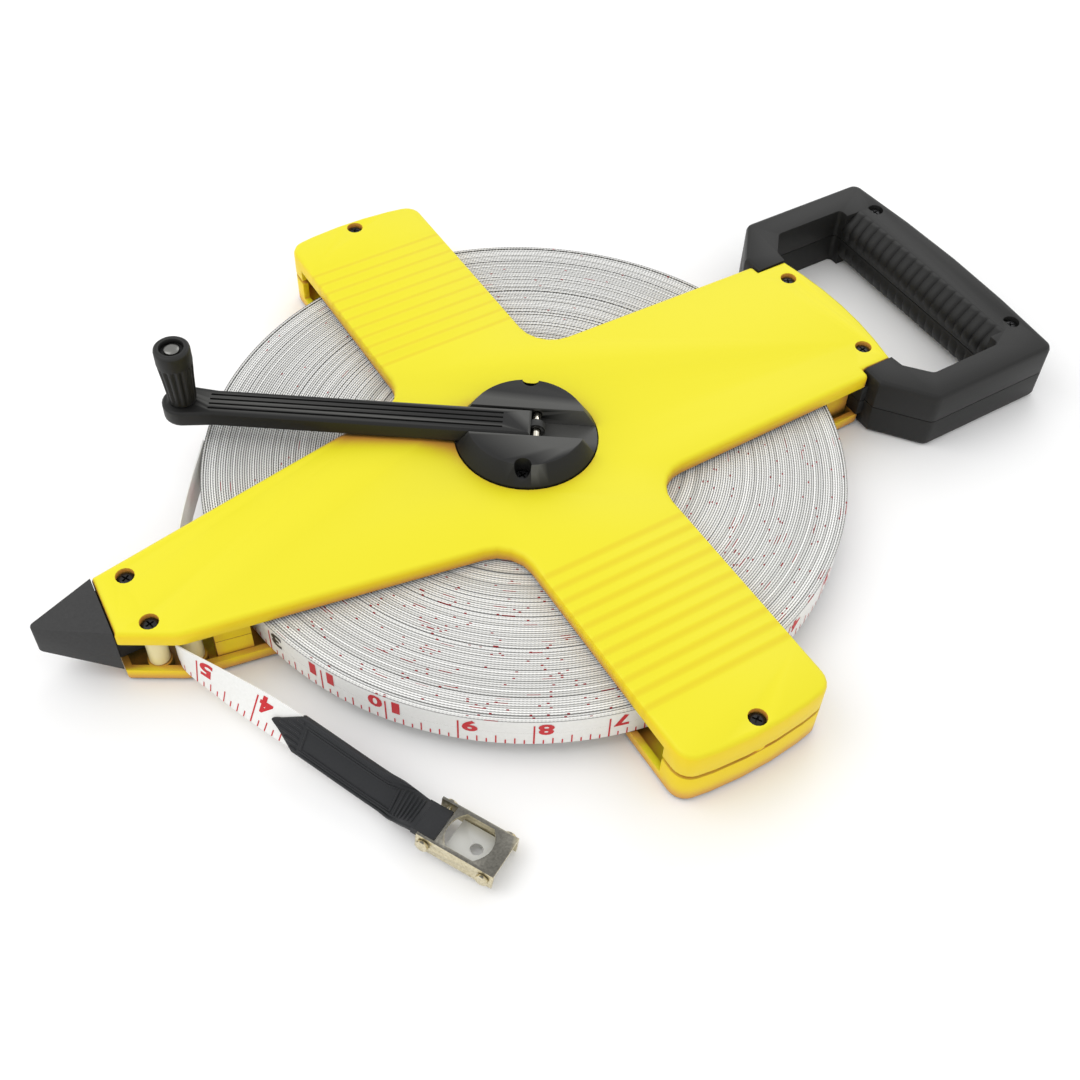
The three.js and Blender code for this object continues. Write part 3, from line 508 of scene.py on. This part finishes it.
def finger_rings(side):
    """The ringed cover of one half's rounded finger side; side is +1 for the front half, -1 for the rear."""
    spine = [(207.4, 27.0), (203.1, 27.0), (198.2, 23.6), (195.6, 19.6), (195.55, 14.2)]
    curve = smoothed([(x, 0, z, 0) for x, z in spine], 1.0)[:, [0, 2]]
    slopes = np.gradient(curve, axis=0)
    slopes = slopes / np.linalg.norm(slopes, axis=1)[:, None]
    out = np.column_stack([slopes[:, 1], -slopes[:, 0]])
    rows = np.linspace(-RING_SPAN / 2, RING_SPAN / 2, RING_COUNT * 8 + 1)
    points = []
    for y in rows:
        part = ((y + RING_SPAN / 2) / RING_SPAN * RING_COUNT) % 1
        swell = RING_HEIGHT * (1 - abs(2 * part - 1) ** 3)
        for k, (x, z) in enumerate(curve):
            fade = min(1, max(0, (RING_TOP_X - x) / 3.2), (len(curve) - 1 - k) / 3)
            lift = -0.12 + (0.2 + swell) * fade
            height = z + out[k, 1] * lift
            height = min(height, GRIP_THICK - 0.05)
            points.append((x + out[k, 0] * lift, y, height if side > 0 else GRIP_THICK - height))
        for k, (x, z) in enumerate(curve):
            height = z - out[k, 1] * 0.7
            points.append((x - out[k, 0] * 0.7, y, height if side > 0 else GRIP_THICK - height))
    width = len(curve)
    faces = []
    for i in range(len(rows) - 1):
        a, b = 2 * width * i, 2 * width * (i + 1)
        for k in range(width - 1):
            faces.append((a + k, a + k + 1, b + k + 1, b + k))
            faces.append((a + width + k, b + width + k, b + width + k + 1, a + width + k + 1))
        faces.append((a, b, b + width, a + width))
        faces.append((a + width - 1, a + 2 * width - 1, b + 2 * width - 1, b + width - 1))
    last = 2 * width * (len(rows) - 1)
    for k in range(width - 1):
        faces.append((k, width + k, width + k + 1, k + 1))
        faces.append((last + k, last + k + 1, last + width + k + 1, last + width + k))
    name = "front_finger_rings" if side > 0 else "rear_finger_rings"
    rings = new_object(name, [Vector(p) * MM for p in points], faces, BLACK)
    form = bmesh.new()
    form.from_mesh(rings.data)
    bmesh.ops.recalc_face_normals(form, faces=form.faces)
    form.to_mesh(rings.data)
    form.free()
    shade(rings, 60)
    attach(rings, "frame")


for half in (1, -1):
    finger_rings(half)

# ---- Nose ----------------------------------------------------------------------------------------------
# A grey moulded point is held between the shells by a tang, and two natural nylon rollers on steel pins lead
# the tape out beside it.
GREY = black_material("grey nose plastic", (0.034, 0.034, 0.034), 0.6, 900, 0.5)
NYLON = new_material("natural nylon", (0.78, 0.68, 0.36), 0.35)[0]
STEEL = new_material("turned steel", (0.62, 0.61, 0.58), 0.28, 1.0)[0]
refined("nose_tip", GREY, 0.5, 30)
refined("nose_roller", NYLON, 0.2, 60)
refined("side_roller", NYLON, 0.2, 60)
refined("side_roller_pin", STEEL, 0.15, 60)

# ---- Screws --------------------------------------------------------------------------------------------
# Blackened cross-head screws hold the shells, the grip and the hub. Each head is turned, and the cross is
# pressed into it.
BLACKENED = new_material("blackened steel", (0.02, 0.02, 0.021), 0.35, 0.6)[0]


def lathe(name, profile, material, sides=48):
    """A closed turned piece about Z; the profile is (radius, height) in millimetres from axis to axis."""
    points, rings = [], []
    for radius, height in profile:
        if radius <= 0:
            rings.append([len(points)])
            points.append((0, 0, height * MM))
            continue
        rings.append(list(range(len(points), len(points) + sides)))
        for k in range(sides):
            turn = 2 * math.pi * k / sides
            points.append((radius * math.cos(turn) * MM, radius * math.sin(turn) * MM, height * MM))
    faces = []
    for low, high in zip(rings, rings[1:]):
        for k in range(sides):
            n = (k + 1) % sides
            corners = [low[k % len(low)], low[n % len(low)], high[n % len(high)], high[k % len(high)]]
            faces.append(tuple(dict.fromkeys(corners)))
    return new_object(name, points, faces, material)


def cross_cutter():
    points, faces = [], []
    for across_x, across_y in ((1.75, 0.36), (0.36, 1.75)):
        start = len(points)
        for z, size in ((-1.3, 0.45), (0.4, 1.05)):
            for sx, sy in SECTION:
                x = 2 * sx * across_x * size
                y = 2 * sy * across_y * max(size, 0.8)
                points.append((x * MM, y * MM, z * MM))
        faces += [(start, start + 3, start + 2, start + 1), (start + 4, start + 5, start + 6, start + 7)]
        for k in range(4):
            n = (k + 1) % 4
            faces.append((start + k, start + n, start + 4 + n, start + 4 + k))
    return new_object("cross punch", points, faces, BLACKENED)


def cross_head_screw(node):
    low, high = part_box(node)
    middle = (low + high) / 2
    length = (high - low).z / MM
    head, shank = 2.9, 1.4
    profile = [
        (0, -length), (0.5, -length), (shank, 1.2 - length), (shank, -1.7), (head, -1.7),
        (head, -0.75), (head - 0.2, -0.4), (head - 0.6, -0.15), (head - 1.2, 0), (0, 0),
    ]
    piece = lathe(f"{node}_piece", profile, BLACKENED, 32)
    cutter = cross_cutter()
    punch = piece.modifiers.new("cross", "BOOLEAN")
    punch.operation = "DIFFERENCE"
    punch.object = cutter
    punch.solver = "EXACT"
    punch.use_self = True
    settled(piece)
    bpy.data.objects.remove(cutter)
    spin = Matrix.Rotation(math.radians(draw.uniform(0, 90)), 4, "Z")
    piece.data.transform(Matrix.Translation((middle.x, middle.y, high.z)) @ spin)
    shade(piece, 35)
    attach(piece, nodes[node]["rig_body"])
    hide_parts(node)


for place in ("nose", "tail", "arm", "grip", "hub"):
    for side in ("far", "near"):
        cross_head_screw(f"{place}_screw_{side}")

# ---- Axle and drum core --------------------------------------------------------------------------------
# The drum turns on a steel bush over the rear shell's post, under a steel washer and screw. The core is a
# natural moulding with two sockets for the hub's screws.
CORE = new_material("natural core plastic", (0.62, 0.56, 0.36), 0.5)[0]
refined("axle_bush", STEEL, 0.15, 60)
refined("axle_washer", STEEL, 0.1, 60)
refined("axle_screw", STEEL, 0.15, 60)
refined("drum_core", CORE, 0.3, 60)

# ---- Wound tape ----------------------------------------------------------------------------------------
# About 206 turns of tape lie on the core. The turns stand a little proud of each other. The weave shows at
# the cut edges as dots, and the red print of the edge lines shows as specks between the turns.
# The gaps between the turns are painted dark, as shade.
coil_low, coil_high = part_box("tape_coil")
COIL_R = coil_high.x / MM
COIL_BOTTOM = coil_low.z / MM
COIL_TOP = coil_high.z / MM
COIL_INNER = 30.3
RIDGES = 103  # each ridge is two turns of tape that lie tight together
PITCH = (COIL_R - COIL_INNER) / RIDGES
GROOVE = 1.3
COIL_SIDES = 144


def wound_material():
    material, tree, shader = new_material("wound tape edges", (0.8, 0.8, 0.77), 0.5)

    def maths(kind, *values):
        return node_maths(tree, kind, *values)

    def cell_noise(first, second, seed):
        join = tree.nodes.new("ShaderNodeCombineXYZ")
        tree.links.new(first, join.inputs["X"])
        tree.links.new(second, join.inputs["Y"])
        join.inputs["Z"].default_value = seed
        noise = tree.nodes.new("ShaderNodeTexWhiteNoise")
        noise.noise_dimensions = "3D"
        tree.links.new(join.outputs["Vector"], noise.inputs["Vector"])
        return noise.outputs["Value"]

    place = tree.nodes.new("ShaderNodeTexCoord")
    split = tree.nodes.new("ShaderNodeSeparateXYZ")
    tree.links.new(place.outputs["Object"], split.inputs["Vector"])
    x, y = split.outputs["X"], split.outputs["Y"]
    radius = maths("SQRT", maths("ADD", maths("MULTIPLY", x, x), maths("MULTIPLY", y, y)))
    turn = maths("ARCTAN2", y, x)
    turn_count = maths("DIVIDE", maths("SUBTRACT", radius, COIL_INNER * MM), PITCH * MM)
    turn_number = maths("FLOOR", turn_count)
    within = maths("SUBTRACT", turn_count, turn_number)
    arc = maths("MULTIPLY", turn, maths("ADD", maths("MULTIPLY", turn_number, PITCH), COIL_INNER))

    # The fabric's threads show as dots beside each groove, and the groove and seam are painted dark as shade.
    height = maths("ABSOLUTE", maths("SUBTRACT", split.outputs["Z"], (COIL_BOTTOM + COIL_TOP) / 2 * MM))
    groove_shade = maths("LESS_THAN", height, ((COIL_TOP - COIL_BOTTOM) / 2 - 0.8) * MM)
    thread_turn = maths("FRACT", maths("ADD", maths("DIVIDE", arc, 1.3), maths("MULTIPLY", turn_number, 0.5)))
    thread = maths("GREATER_THAN", thread_turn, 0.5)
    beside = maths("GREATER_THAN", within, 0.5)
    front = maths("MAXIMUM", maths("COSINE", maths("SUBTRACT", turn, math.radians(-105))), 0.0)
    strength = maths("SUBTRACT", 0.92, maths("MULTIPLY", front, 0.5))
    dotted = maths("MULTIPLY", maths("MULTIPLY", beside, thread), strength)
    seam_shade = maths("MULTIPLY", maths("GREATER_THAN", within, 0.7), 0.72)
    gap_shade_and_weave = maths("MAXIMUM", maths("MAXIMUM", maths("MULTIPLY", groove_shade, 0.97), seam_shade), dotted)
    per_turn = cell_noise(turn_number, maths("MULTIPLY", turn_number, 0.0), 8.0)
    white = blend_colours(tree, per_turn, (0.62, 0.62, 0.6), (0.92, 0.92, 0.9))
    ground = blend_colours(tree, gap_shade_and_weave, white, (0.035, 0.035, 0.033))

    # Red print shows between the turns, more of it on the side where the tape is pulled tight.
    long_cell = maths("FLOOR", maths("DIVIDE", arc, 4.6))
    short_cell = maths("FLOOR", maths("DIVIDE", arc, 0.95))
    density = maths("ADD", 0.12, front)
    dashes = maths("LESS_THAN", cell_noise(turn_number, long_cell, 12.0), maths("MULTIPLY", density, 0.03))
    dashes = maths("MULTIPLY", dashes, maths("GREATER_THAN", within, 0.6))
    dots = maths("LESS_THAN", cell_noise(turn_number, short_cell, 21.0), maths("MULTIPLY", density, 0.026))
    dots = maths("MULTIPLY", dots, maths("GREATER_THAN", within, 0.3))
    specks = maths("MAXIMUM", dashes, dots)
    tree.links.new(blend_colours(tree, specks, ground, (0.25, 0.004, 0.008)), shader.inputs["Base Color"])
    return material


WOUND = wound_material()


def coil_face(name, side):
    """One face of the wound coil with its rim or core edge: a ridge for every two turns, in random heights.
    """
    middle = (COIL_BOTTOM + COIL_TOP) / 2
    reach = (COIL_TOP - COIL_BOTTOM) / 2
    profile = []
    for k in range(RIDGES):
        start = COIL_INNER + k * PITCH
        proud = reach - 0.08 - abs(draw.gauss(0, 0.1))
        if draw.random() < 0.1:
            proud -= draw.uniform(0.2, 0.4)
        proud = reach if k == RIDGES - 1 else proud
        tight = draw.uniform(0.84, 0.95)
        profile += [(start + 0.01, proud), (start + PITCH * tight, proud)]
        profile += [(start + PITCH * (tight + 0.02), proud - GROOVE), (start + PITCH * 0.98, proud - GROOVE)]
    profile = profile[:-2]
    profile[-1] = (COIL_R, reach)
    profile.append((COIL_R, 0.0) if side > 0 else (COIL_R, 0.02))
    profile.insert(0, (COIL_INNER, 0.0) if side > 0 else (COIL_INNER, 0.02))
    points, faces = [], []
    for radius, height in profile:
        for k in range(COIL_SIDES):
            turn = 2 * math.pi * k / COIL_SIDES
            points.append((radius * math.cos(turn) * MM, radius * math.sin(turn) * MM,
                           (middle + side * height) * MM))
    for i in range(len(profile) - 1):
        for k in range(COIL_SIDES):
            n = (k + 1) % COIL_SIDES
            a, b = i * COIL_SIDES, (i + 1) * COIL_SIDES
            face = (a + k, b + k, b + n, a + n)
            faces.append(face if side > 0 else face[::-1])
    # The rim is the last turn's printed face, and the middle is closed by a plain ring.
    top = (len(profile) - 1) * COIL_SIDES
    for k in range(COIL_SIDES):
        n = (k + 1) % COIL_SIDES
        face = (top + k, k, n, top + n)
        faces.append(face if side > 0 else face[::-1])
    face_piece = new_object(name, points, faces, WOUND)
    face_piece.data.materials.append(TAPE)
    rim = (len(profile) - 2) * COIL_SIDES
    for index in range(rim, rim + COIL_SIDES):
        face_piece.data.polygons[index].material_index = 1
    shade(face_piece, 30)
    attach(face_piece, "drum")
    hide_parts("tape_coil")


coil_face("coil_front_face", 1)
coil_face("coil_rear_face", -1)

EIGHT_LINE = math.radians(-119.66)
RIM_INCHES = 30


def on_rim(s, v, out):
    turn = EIGHT_LINE + s / COIL_R
    radius = COIL_R + out
    return (radius * math.cos(turn), radius * math.sin(turn), (COIL_BOTTOM + COIL_TOP) / 2 + v)


rim_red, rim_black, rim_lines = [], [], []
for step in range(RIM_INCHES):
    inch = 8 + step if step <= RIM_INCHES // 2 else 8 + step - RIM_INCHES
    shown = (inch - 1) % 12 + 1
    s = (8 - inch) * INCH
    if shown == 12:
        rim_black.append((str((inch // 12) % 9 + 2), s))
    else:
        rim_red.append((str(shown), s))
    rim_lines += inch_ticks(s, 1)
rim_print = printed("rim_print", rim_red, rim_lines, on_rim, RED_INK)
foot_print = printed("rim_foot_figures", rim_black, [], on_rim, BLACK_INK)
for ink in (rim_print, foot_print):
    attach(ink, "drum")

# ---- Hub and crank -------------------------------------------------------------------------------------
# A black moulded hub is screwed to the core. The crank arm folds into the channel across it on a nickelled
# pin, and the sharp edges of hub, arm and knob are painted lighter as a highlight.
def worn_material(name, colour, edge_highlight_colour, roughness):
    material, tree, shader = new_material(name, colour, roughness)
    shader.inputs["Specular IOR Level"].default_value = 0.32
    mask = mottled(tree, shader, 1400, 0.25)
    # Painted highlight: sharp convex edges, found by pointiness, are painted lighter.
    geometry = tree.nodes.new("ShaderNodeNewGeometry")
    edge = tree.nodes.new("ShaderNodeMapRange")
    edge.inputs["From Min"].default_value = 0.53
    edge.inputs["From Max"].default_value = 0.62
    tree.links.new(geometry.outputs["Pointiness"], edge.inputs["Value"])
    mix = blend_colours(tree, mask, tuple(0.8 * c for c in colour), tuple(1.25 * c for c in colour))
    tree.links.new(blend_colours(tree, edge.outputs["Result"], mix, edge_highlight_colour), shader.inputs["Base Color"])
    return material


HUB_BLACK = worn_material("black plastic with painted edge highlight", (0.007, 0.007, 0.0066), (0.07, 0.07, 0.066), 0.5)
NICKEL = new_material("nickel plate", (0.72, 0.68, 0.58), 0.16, 1.0)[0]
refined("crank_hub", HUB_BLACK, 0.4, 25, 2)
refined("crank_hinge_pin", NICKEL, 0.2, 60)
refined("crank_arm", HUB_BLACK, 0.2, 30, 2, 25)

# ---- Knob ----------------------------------------------------------------------------------------------
# The knob is a tapered black moulding with fourteen flutes below a plain band. It spins on a riveted pin
# that stands up from the end of the crank arm.
DARK_STEEL = new_material("dull rivet steel", (0.2, 0.2, 0.19), 0.3, 1.0)[0]
KNOB_FLUTES = 14
FLUTE_DEPTH = 0.75
knob_low, knob_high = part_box("crank_knob")
knob_middle = (knob_low + knob_high) / 2


def fluted_knob():
    base = knob_low.z / MM
    top = knob_high.z / MM
    height = top - base
    # Each place is (radius, height, how deep the flutes are there, from 0 to 1).
    profile = [
        (2.3, 0, 0), (4.6, 0, 0), (5.1, 0.35, 0), (5.25, 0.9, 0.3), (5.45, 3, 1), (6.1, 12, 1),
        (6.6, height - 8.6, 1), (6.65, height - 7.6, 0.9), (6.7, height - 7, 0),
        (6.75, height - 6.6, 0), (6.75, height - 1.4, 0), (6.6, height - 0.6, 0),
        (6.1, height - 0.1, 0), (5.6, height, 0), (4.7, height, 0), (4.45, height - 0.3, 0),
        (4.4, height - 2, 0), (2.3, height - 2, 0),
    ]
    sides = KNOB_FLUTES * 8
    points, faces = [], []
    for radius, z, fluted in profile:
        for k in range(sides):
            turn = 2 * math.pi * k / sides
            wave = 0.5 - 0.5 * math.cos(KNOB_FLUTES * turn)
            r = radius - FLUTE_DEPTH * fluted * wave**1.5
            points.append((r * math.cos(turn) * MM, r * math.sin(turn) * MM, (base + z) * MM))
    rows = len(profile)
    for i in range(rows):
        a, b = i * sides, ((i + 1) % rows) * sides
        for k in range(sides):
            n = (k + 1) % sides
            faces.append((a + k, a + n, b + n, b + k))
    knob = new_object("fluted_knob", points, faces, HUB_BLACK)
    knob.data.transform(Matrix.Translation((knob_middle.x, knob_middle.y, 0)))
    shade(knob, 40)
    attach(knob, "knob")
    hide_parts("crank_knob")


fluted_knob()
refined("knob_pin", DARK_STEEL, 0.3, 40, 3)

# ---- End sleeve ----------------------------------------------------------------------------------------
# A soft black moulding with a pointed end is fixed over the tape's last stretch. Ribs run along the point and
# the long edges, a raised border frames a blank panel, and short ribs cross the end by the hook.
SLEEVE = black_material("soft black sleeve", (0.013, 0.014, 0.016), 0.45, 1200, 0.3)
SLEEVE_HALF = 7
SLEEVE_THICK = 2.8
SLEEVE_LENGTH = 61
SLEEVE_POINT = 10.4
HOOK_PIN = 66
RUN = np.array([0.4328, -0.9008, -0.0359])
HOOK_RUN = np.array([0.4856, -0.8725, -0.0536])
HOOK_AT = np.array([-102.86, -116.61, 6.02])
LEAN = 34
HOOK_LEAN = 96
TWIST_FROM = 45
TWIST_TO = 60
NECK_HALF = 6.2
LUG_WIDTH = 12.4
RUN = RUN / np.linalg.norm(RUN)
HOOK_RUN = HOOK_RUN / np.linalg.norm(HOOK_RUN)
SLEEVE_AT = np.array(ROUTE[-1][:3]) - RUN * (SLEEVE_POCKET - 0.5)


def eased(x, low, high):
    part = min(1, max(0, (x - low) / (high - low)))
    return part * part * (3 - 2 * part)


def on_sleeve(x, y, z):
    """A point of the sleeve, given along it from its point, across it and out of its face."""
    t = x / HOOK_PIN
    at = SLEEVE_AT * (2 * t**3 - 3 * t**2 + 1) + RUN * HOOK_PIN * (t**3 - 2 * t**2 + t)
    at = at + HOOK_AT * (3 * t**2 - 2 * t**3) + HOOK_RUN * HOOK_PIN * (t**3 - t**2)
    run = RUN * (1 - t) + HOOK_RUN * t
    run = run / np.linalg.norm(run)
    wide = across(run, math.radians(LEAN + (HOOK_LEAN - LEAN) * eased(x, TWIST_FROM, TWIST_TO)))
    return at + wide * y + np.cross(run, wide) * z


def sleeve_body():
    """The sleeve's moulding: a pointed, twisted bar of rounded section."""
    half = SLEEVE_THICK / 2
    # Its rounded section: (part of the half-width, height).
    round_off = [
        (-1, -half + 0.6), (-1, half - 0.6), (-0.95, half - 0.2), (-0.88, half),
        (0.88, half), (0.95, half - 0.2), (1, half - 0.6), (1, -half + 0.6),
        (0.95, 0.2 - half), (0.88, -half), (-0.88, -half), (-0.95, 0.2 - half),
    ]
    stations = [(0.0, 0.3), (1.0, 1.0)]
    stations += [(x, SLEEVE_HALF * x / SLEEVE_POINT) for x in (3, 6, 9)]
    stations += [(x, SLEEVE_HALF + (NECK_HALF - SLEEVE_HALF) * eased(x, TWIST_FROM, TWIST_TO - 4))
                 for x in np.arange(SLEEVE_POINT, SLEEVE_LENGTH, 1.2)]
    stations += [(SLEEVE_LENGTH, NECK_HALF - 0.1)]
    points, faces = [], []
    for x, wide in stations:
        points += [on_sleeve(x, a * wide, z) * MM for a, z in round_off]
    count = len(round_off)
    for i in range(len(stations) - 1):
        for k in range(count):
            a, b = i * count + k, i * count + (k + 1) % count
            faces.append((a, b, b + count, a + count))
    faces.append(tuple(range(count))[::-1])
    faces.append(tuple(range((len(stations) - 1) * count, len(stations) * count)))
    # The lug that the hook's rivet goes through.
    start = len(points)
    wide_way = across(HOOK_RUN, math.radians(HOOK_LEAN))
    face_way = np.cross(HOOK_RUN, wide_way)
    for x in (SLEEVE_LENGTH - 1.2 - HOOK_PIN, 2.4):
        for a, b in SECTION:
            corner = HOOK_AT + HOOK_RUN * x + wide_way * a * LUG_WIDTH + face_way * b * SLEEVE_THICK
            points.append(corner * MM)
    faces += [(start + 3, start + 2, start + 1, start), (start + 4, start + 5, start + 6, start + 7)]
    for k in range(4):
        n = (k + 1) % 4
        faces.append((start + k, start + n, start + 4 + n, start + 4 + k))
    body = new_object("end_sleeve_body", points, faces, SLEEVE)
    form = bmesh.new()
    form.from_mesh(body.data)
    bmesh.ops.recalc_face_normals(form, faces=form.faces)
    form.to_mesh(body.data)
    form.free()
    shade(body, 40)
    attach(body, "frame")
    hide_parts("end_sleeve")
    return body


sleeve = sleeve_body()


def copies_tree():
    """Geometry nodes that set a piece out at marked places, turned and sized by the marks."""
    tree = bpy.data.node_groups.new("set out copies", "GeometryNodeTree")
    sockets(tree, [("Places", "NodeSocketGeometry"), ("Piece", "NodeSocketObject"),
                   ("Finish", "NodeSocketMaterial")], "INPUT")
    sockets(tree, [("Copies", "NodeSocketGeometry")], "OUTPUT")
    start = tree.nodes.new("NodeGroupInput")
    end = tree.nodes.new("NodeGroupOutput")
    piece = tree.nodes.new("GeometryNodeObjectInfo")
    copies = tree.nodes.new("GeometryNodeInstanceOnPoints")
    real = tree.nodes.new("GeometryNodeRealizeInstances")
    finish = tree.nodes.new("GeometryNodeSetMaterial")
    marks = {}
    for mark in ("turn", "size"):
        marks[mark] = tree.nodes.new("GeometryNodeInputNamedAttribute")
        marks[mark].data_type = "FLOAT_VECTOR"
        marks[mark].inputs["Name"].default_value = mark
    turns = tree.nodes.new("FunctionNodeEulerToRotation")
    link = tree.links.new
    link(start.outputs["Places"], copies.inputs["Points"])
    link(start.outputs["Piece"], piece.inputs["Object"])
    link(piece.outputs["Geometry"], copies.inputs["Instance"])
    link(marks["turn"].outputs["Attribute"], turns.inputs["Euler"])
    link(turns.outputs["Rotation"], copies.inputs["Rotation"])
    link(marks["size"].outputs["Attribute"], copies.inputs["Scale"])
    link(copies.outputs["Instances"], real.inputs["Geometry"])
    link(real.outputs["Geometry"], finish.inputs["Geometry"])
    link(start.outputs["Finish"], finish.inputs["Material"])
    link(finish.outputs["Geometry"], end.inputs["Copies"])
    return tree


COPIES = copies_tree()


def set_out(name, pattern, places, material):
    """Copies of a pattern at places, each (point, turn, size), as one mesh."""
    made = new_object(name, [p for p, _, _ in places], [], material)
    for mark, index in (("turn", 1), ("size", 2)):
        data = made.data.attributes.new(mark, "FLOAT_VECTOR", "POINT").data
        for k, spot in enumerate(places):
            data[k].vector = spot[index]
    spread = made.modifiers.new("copies", "NODES")
    spread.node_group = COPIES
    keys = {item.name: item.identifier for item in COPIES.interface.items_tree if item.in_out == "INPUT"}
    spread[keys["Piece"]] = pattern
    spread[keys["Finish"]] = material
    settled(made)
    return made


def half_round(name, material):
    """A half-round rib one unit long on X, one unit high and two units wide, with rounded-over ends."""
    points, faces = [], []
    rows = [(-0.5, 0.0), (-0.47, 0.75), *[(x / 10, 1.0) for x in range(-4, 5)], (0.47, 0.75), (0.5, 0.0)]
    arc = [math.pi * k / 8 for k in range(9)]
    for x, size in rows:
        for angle in arc:
            points.append((x, size * math.cos(angle), size * math.sin(angle)))
    for i in range(len(rows) - 1):
        for k in range(8):
            a, b = 9 * i + k, 9 * (i + 1) + k
            faces.append((a, b, b + 1, a + 1))
    for i in range(len(rows) - 1):
        faces.append((9 * i + 8, 9 * i + 17, 9 * i + 9, 9 * i))
    return new_object(name, points, faces, material)


rib_pattern = half_round("rib pattern", SLEEVE)
rib_places = []


def sleeve_rib(x0, x1, y, width=0.5, height=0.45, over=1):
    place = ((x0 + x1) / 2 * MM, y * MM, over * (SLEEVE_THICK / 2 - 0.05) * MM)
    turn = (0, 0, 0) if over > 0 else (math.pi, 0, 0)
    rib_places.append((place, turn, ((x1 - x0) * MM, width * MM, height * MM)))


def sleeve_bar(x, y0, y1, width=0.5, height=0.45, over=1):
    place = (x * MM, (y0 + y1) / 2 * MM, over * (SLEEVE_THICK / 2 - 0.05) * MM)
    turn = (0, 0, math.pi / 2) if over > 0 else (math.pi, 0, math.pi / 2)
    rib_places.append((place, turn, ((y1 - y0) * MM, width * MM, height * MM)))


for over in (1, -1):
    for k in range(-2, 4):
        y = (k - 0.5) * 2.1
        sleeve_rib(1.2 + abs(y) * SLEEVE_POINT / SLEEVE_HALF, 12, y, 0.55, 0.4, over)
    for y in (-6.1, -4.9, 4.9, 6.1):
        sleeve_rib(12, 55, y * 0.96, 0.4, 0.35, over)
    for x in (13.6, 50.2):
        sleeve_bar(x, -4.2, 4.2, 0.45, 0.4, over)
    for y in (-3.9, 3.9):
        sleeve_rib(13.4, 50.4, y, 0.4, 0.4, over)
    for k in range(6):
        sleeve_bar(52 + 1.35 * k, -4.9, 4.9, 0.42, 0.5, over)
sleeve_ribs = set_out("sleeve_ribs", rib_pattern, rib_places, SLEEVE)
bpy.data.objects.remove(rib_pattern)
for vertex in sleeve_ribs.data.vertices:
    vertex.co = on_sleeve(*(vertex.co / MM)) * MM
shade(sleeve_ribs, 50)
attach(sleeve_ribs, "frame")

# ---- Hook ----------------------------------------------------------------------------------------------
# The hook is folded from nickelled sheet with a lens-shaped window and held by round-headed rivets, and a
# steel claw swings inside it. Its side walls are painted bright as light, and its upper flats mottled dark as
# shade.
def nickel_material():
    material, tree, shader = new_material("worn nickel plate with painted shade and light", (0.72, 0.68, 0.58), 0.3, 1.0)
    mask = mottled(tree, shader, 1100, 0.6)
    # Painted shade and light: upward faces are painted mottled dark, the side walls bright.
    facing = tree.nodes.new("ShaderNodeNewGeometry")
    split = tree.nodes.new("ShaderNodeSeparateXYZ")
    upward_shade = tree.nodes.new("ShaderNodeMapRange")
    upward_shade.inputs["From Min"].default_value = 0.9
    upward_shade.inputs["From Max"].default_value = 0.97
    tree.links.new(facing.outputs["Normal"], split.inputs["Vector"])
    tree.links.new(split.outputs["Z"], upward_shade.inputs["Value"])
    dull = blend_colours(tree, mask, (0.07, 0.068, 0.06), (0.24, 0.23, 0.2))
    lit_sides = blend_colours(tree, mask, (0.42, 0.35, 0.18), (0.9, 0.84, 0.66))
    tree.links.new(blend_colours(tree, upward_shade.outputs["Result"], lit_sides, dull), shader.inputs["Base Color"])
    return material


PLATED = nickel_material()
CLAW_STEEL = new_material("satin claw steel", (0.55, 0.55, 0.52), 0.5, 0.3)[0]
hook_pieces = [refined("hook_claw", CLAW_STEEL, 0.12, 40, 2)]
for node in ("hook_rivet_inner", "hook_frame", "hook_rivet_outer"):
    hook_pieces.append(refined(node, PLATED, 0.15, 40, 2, 30))
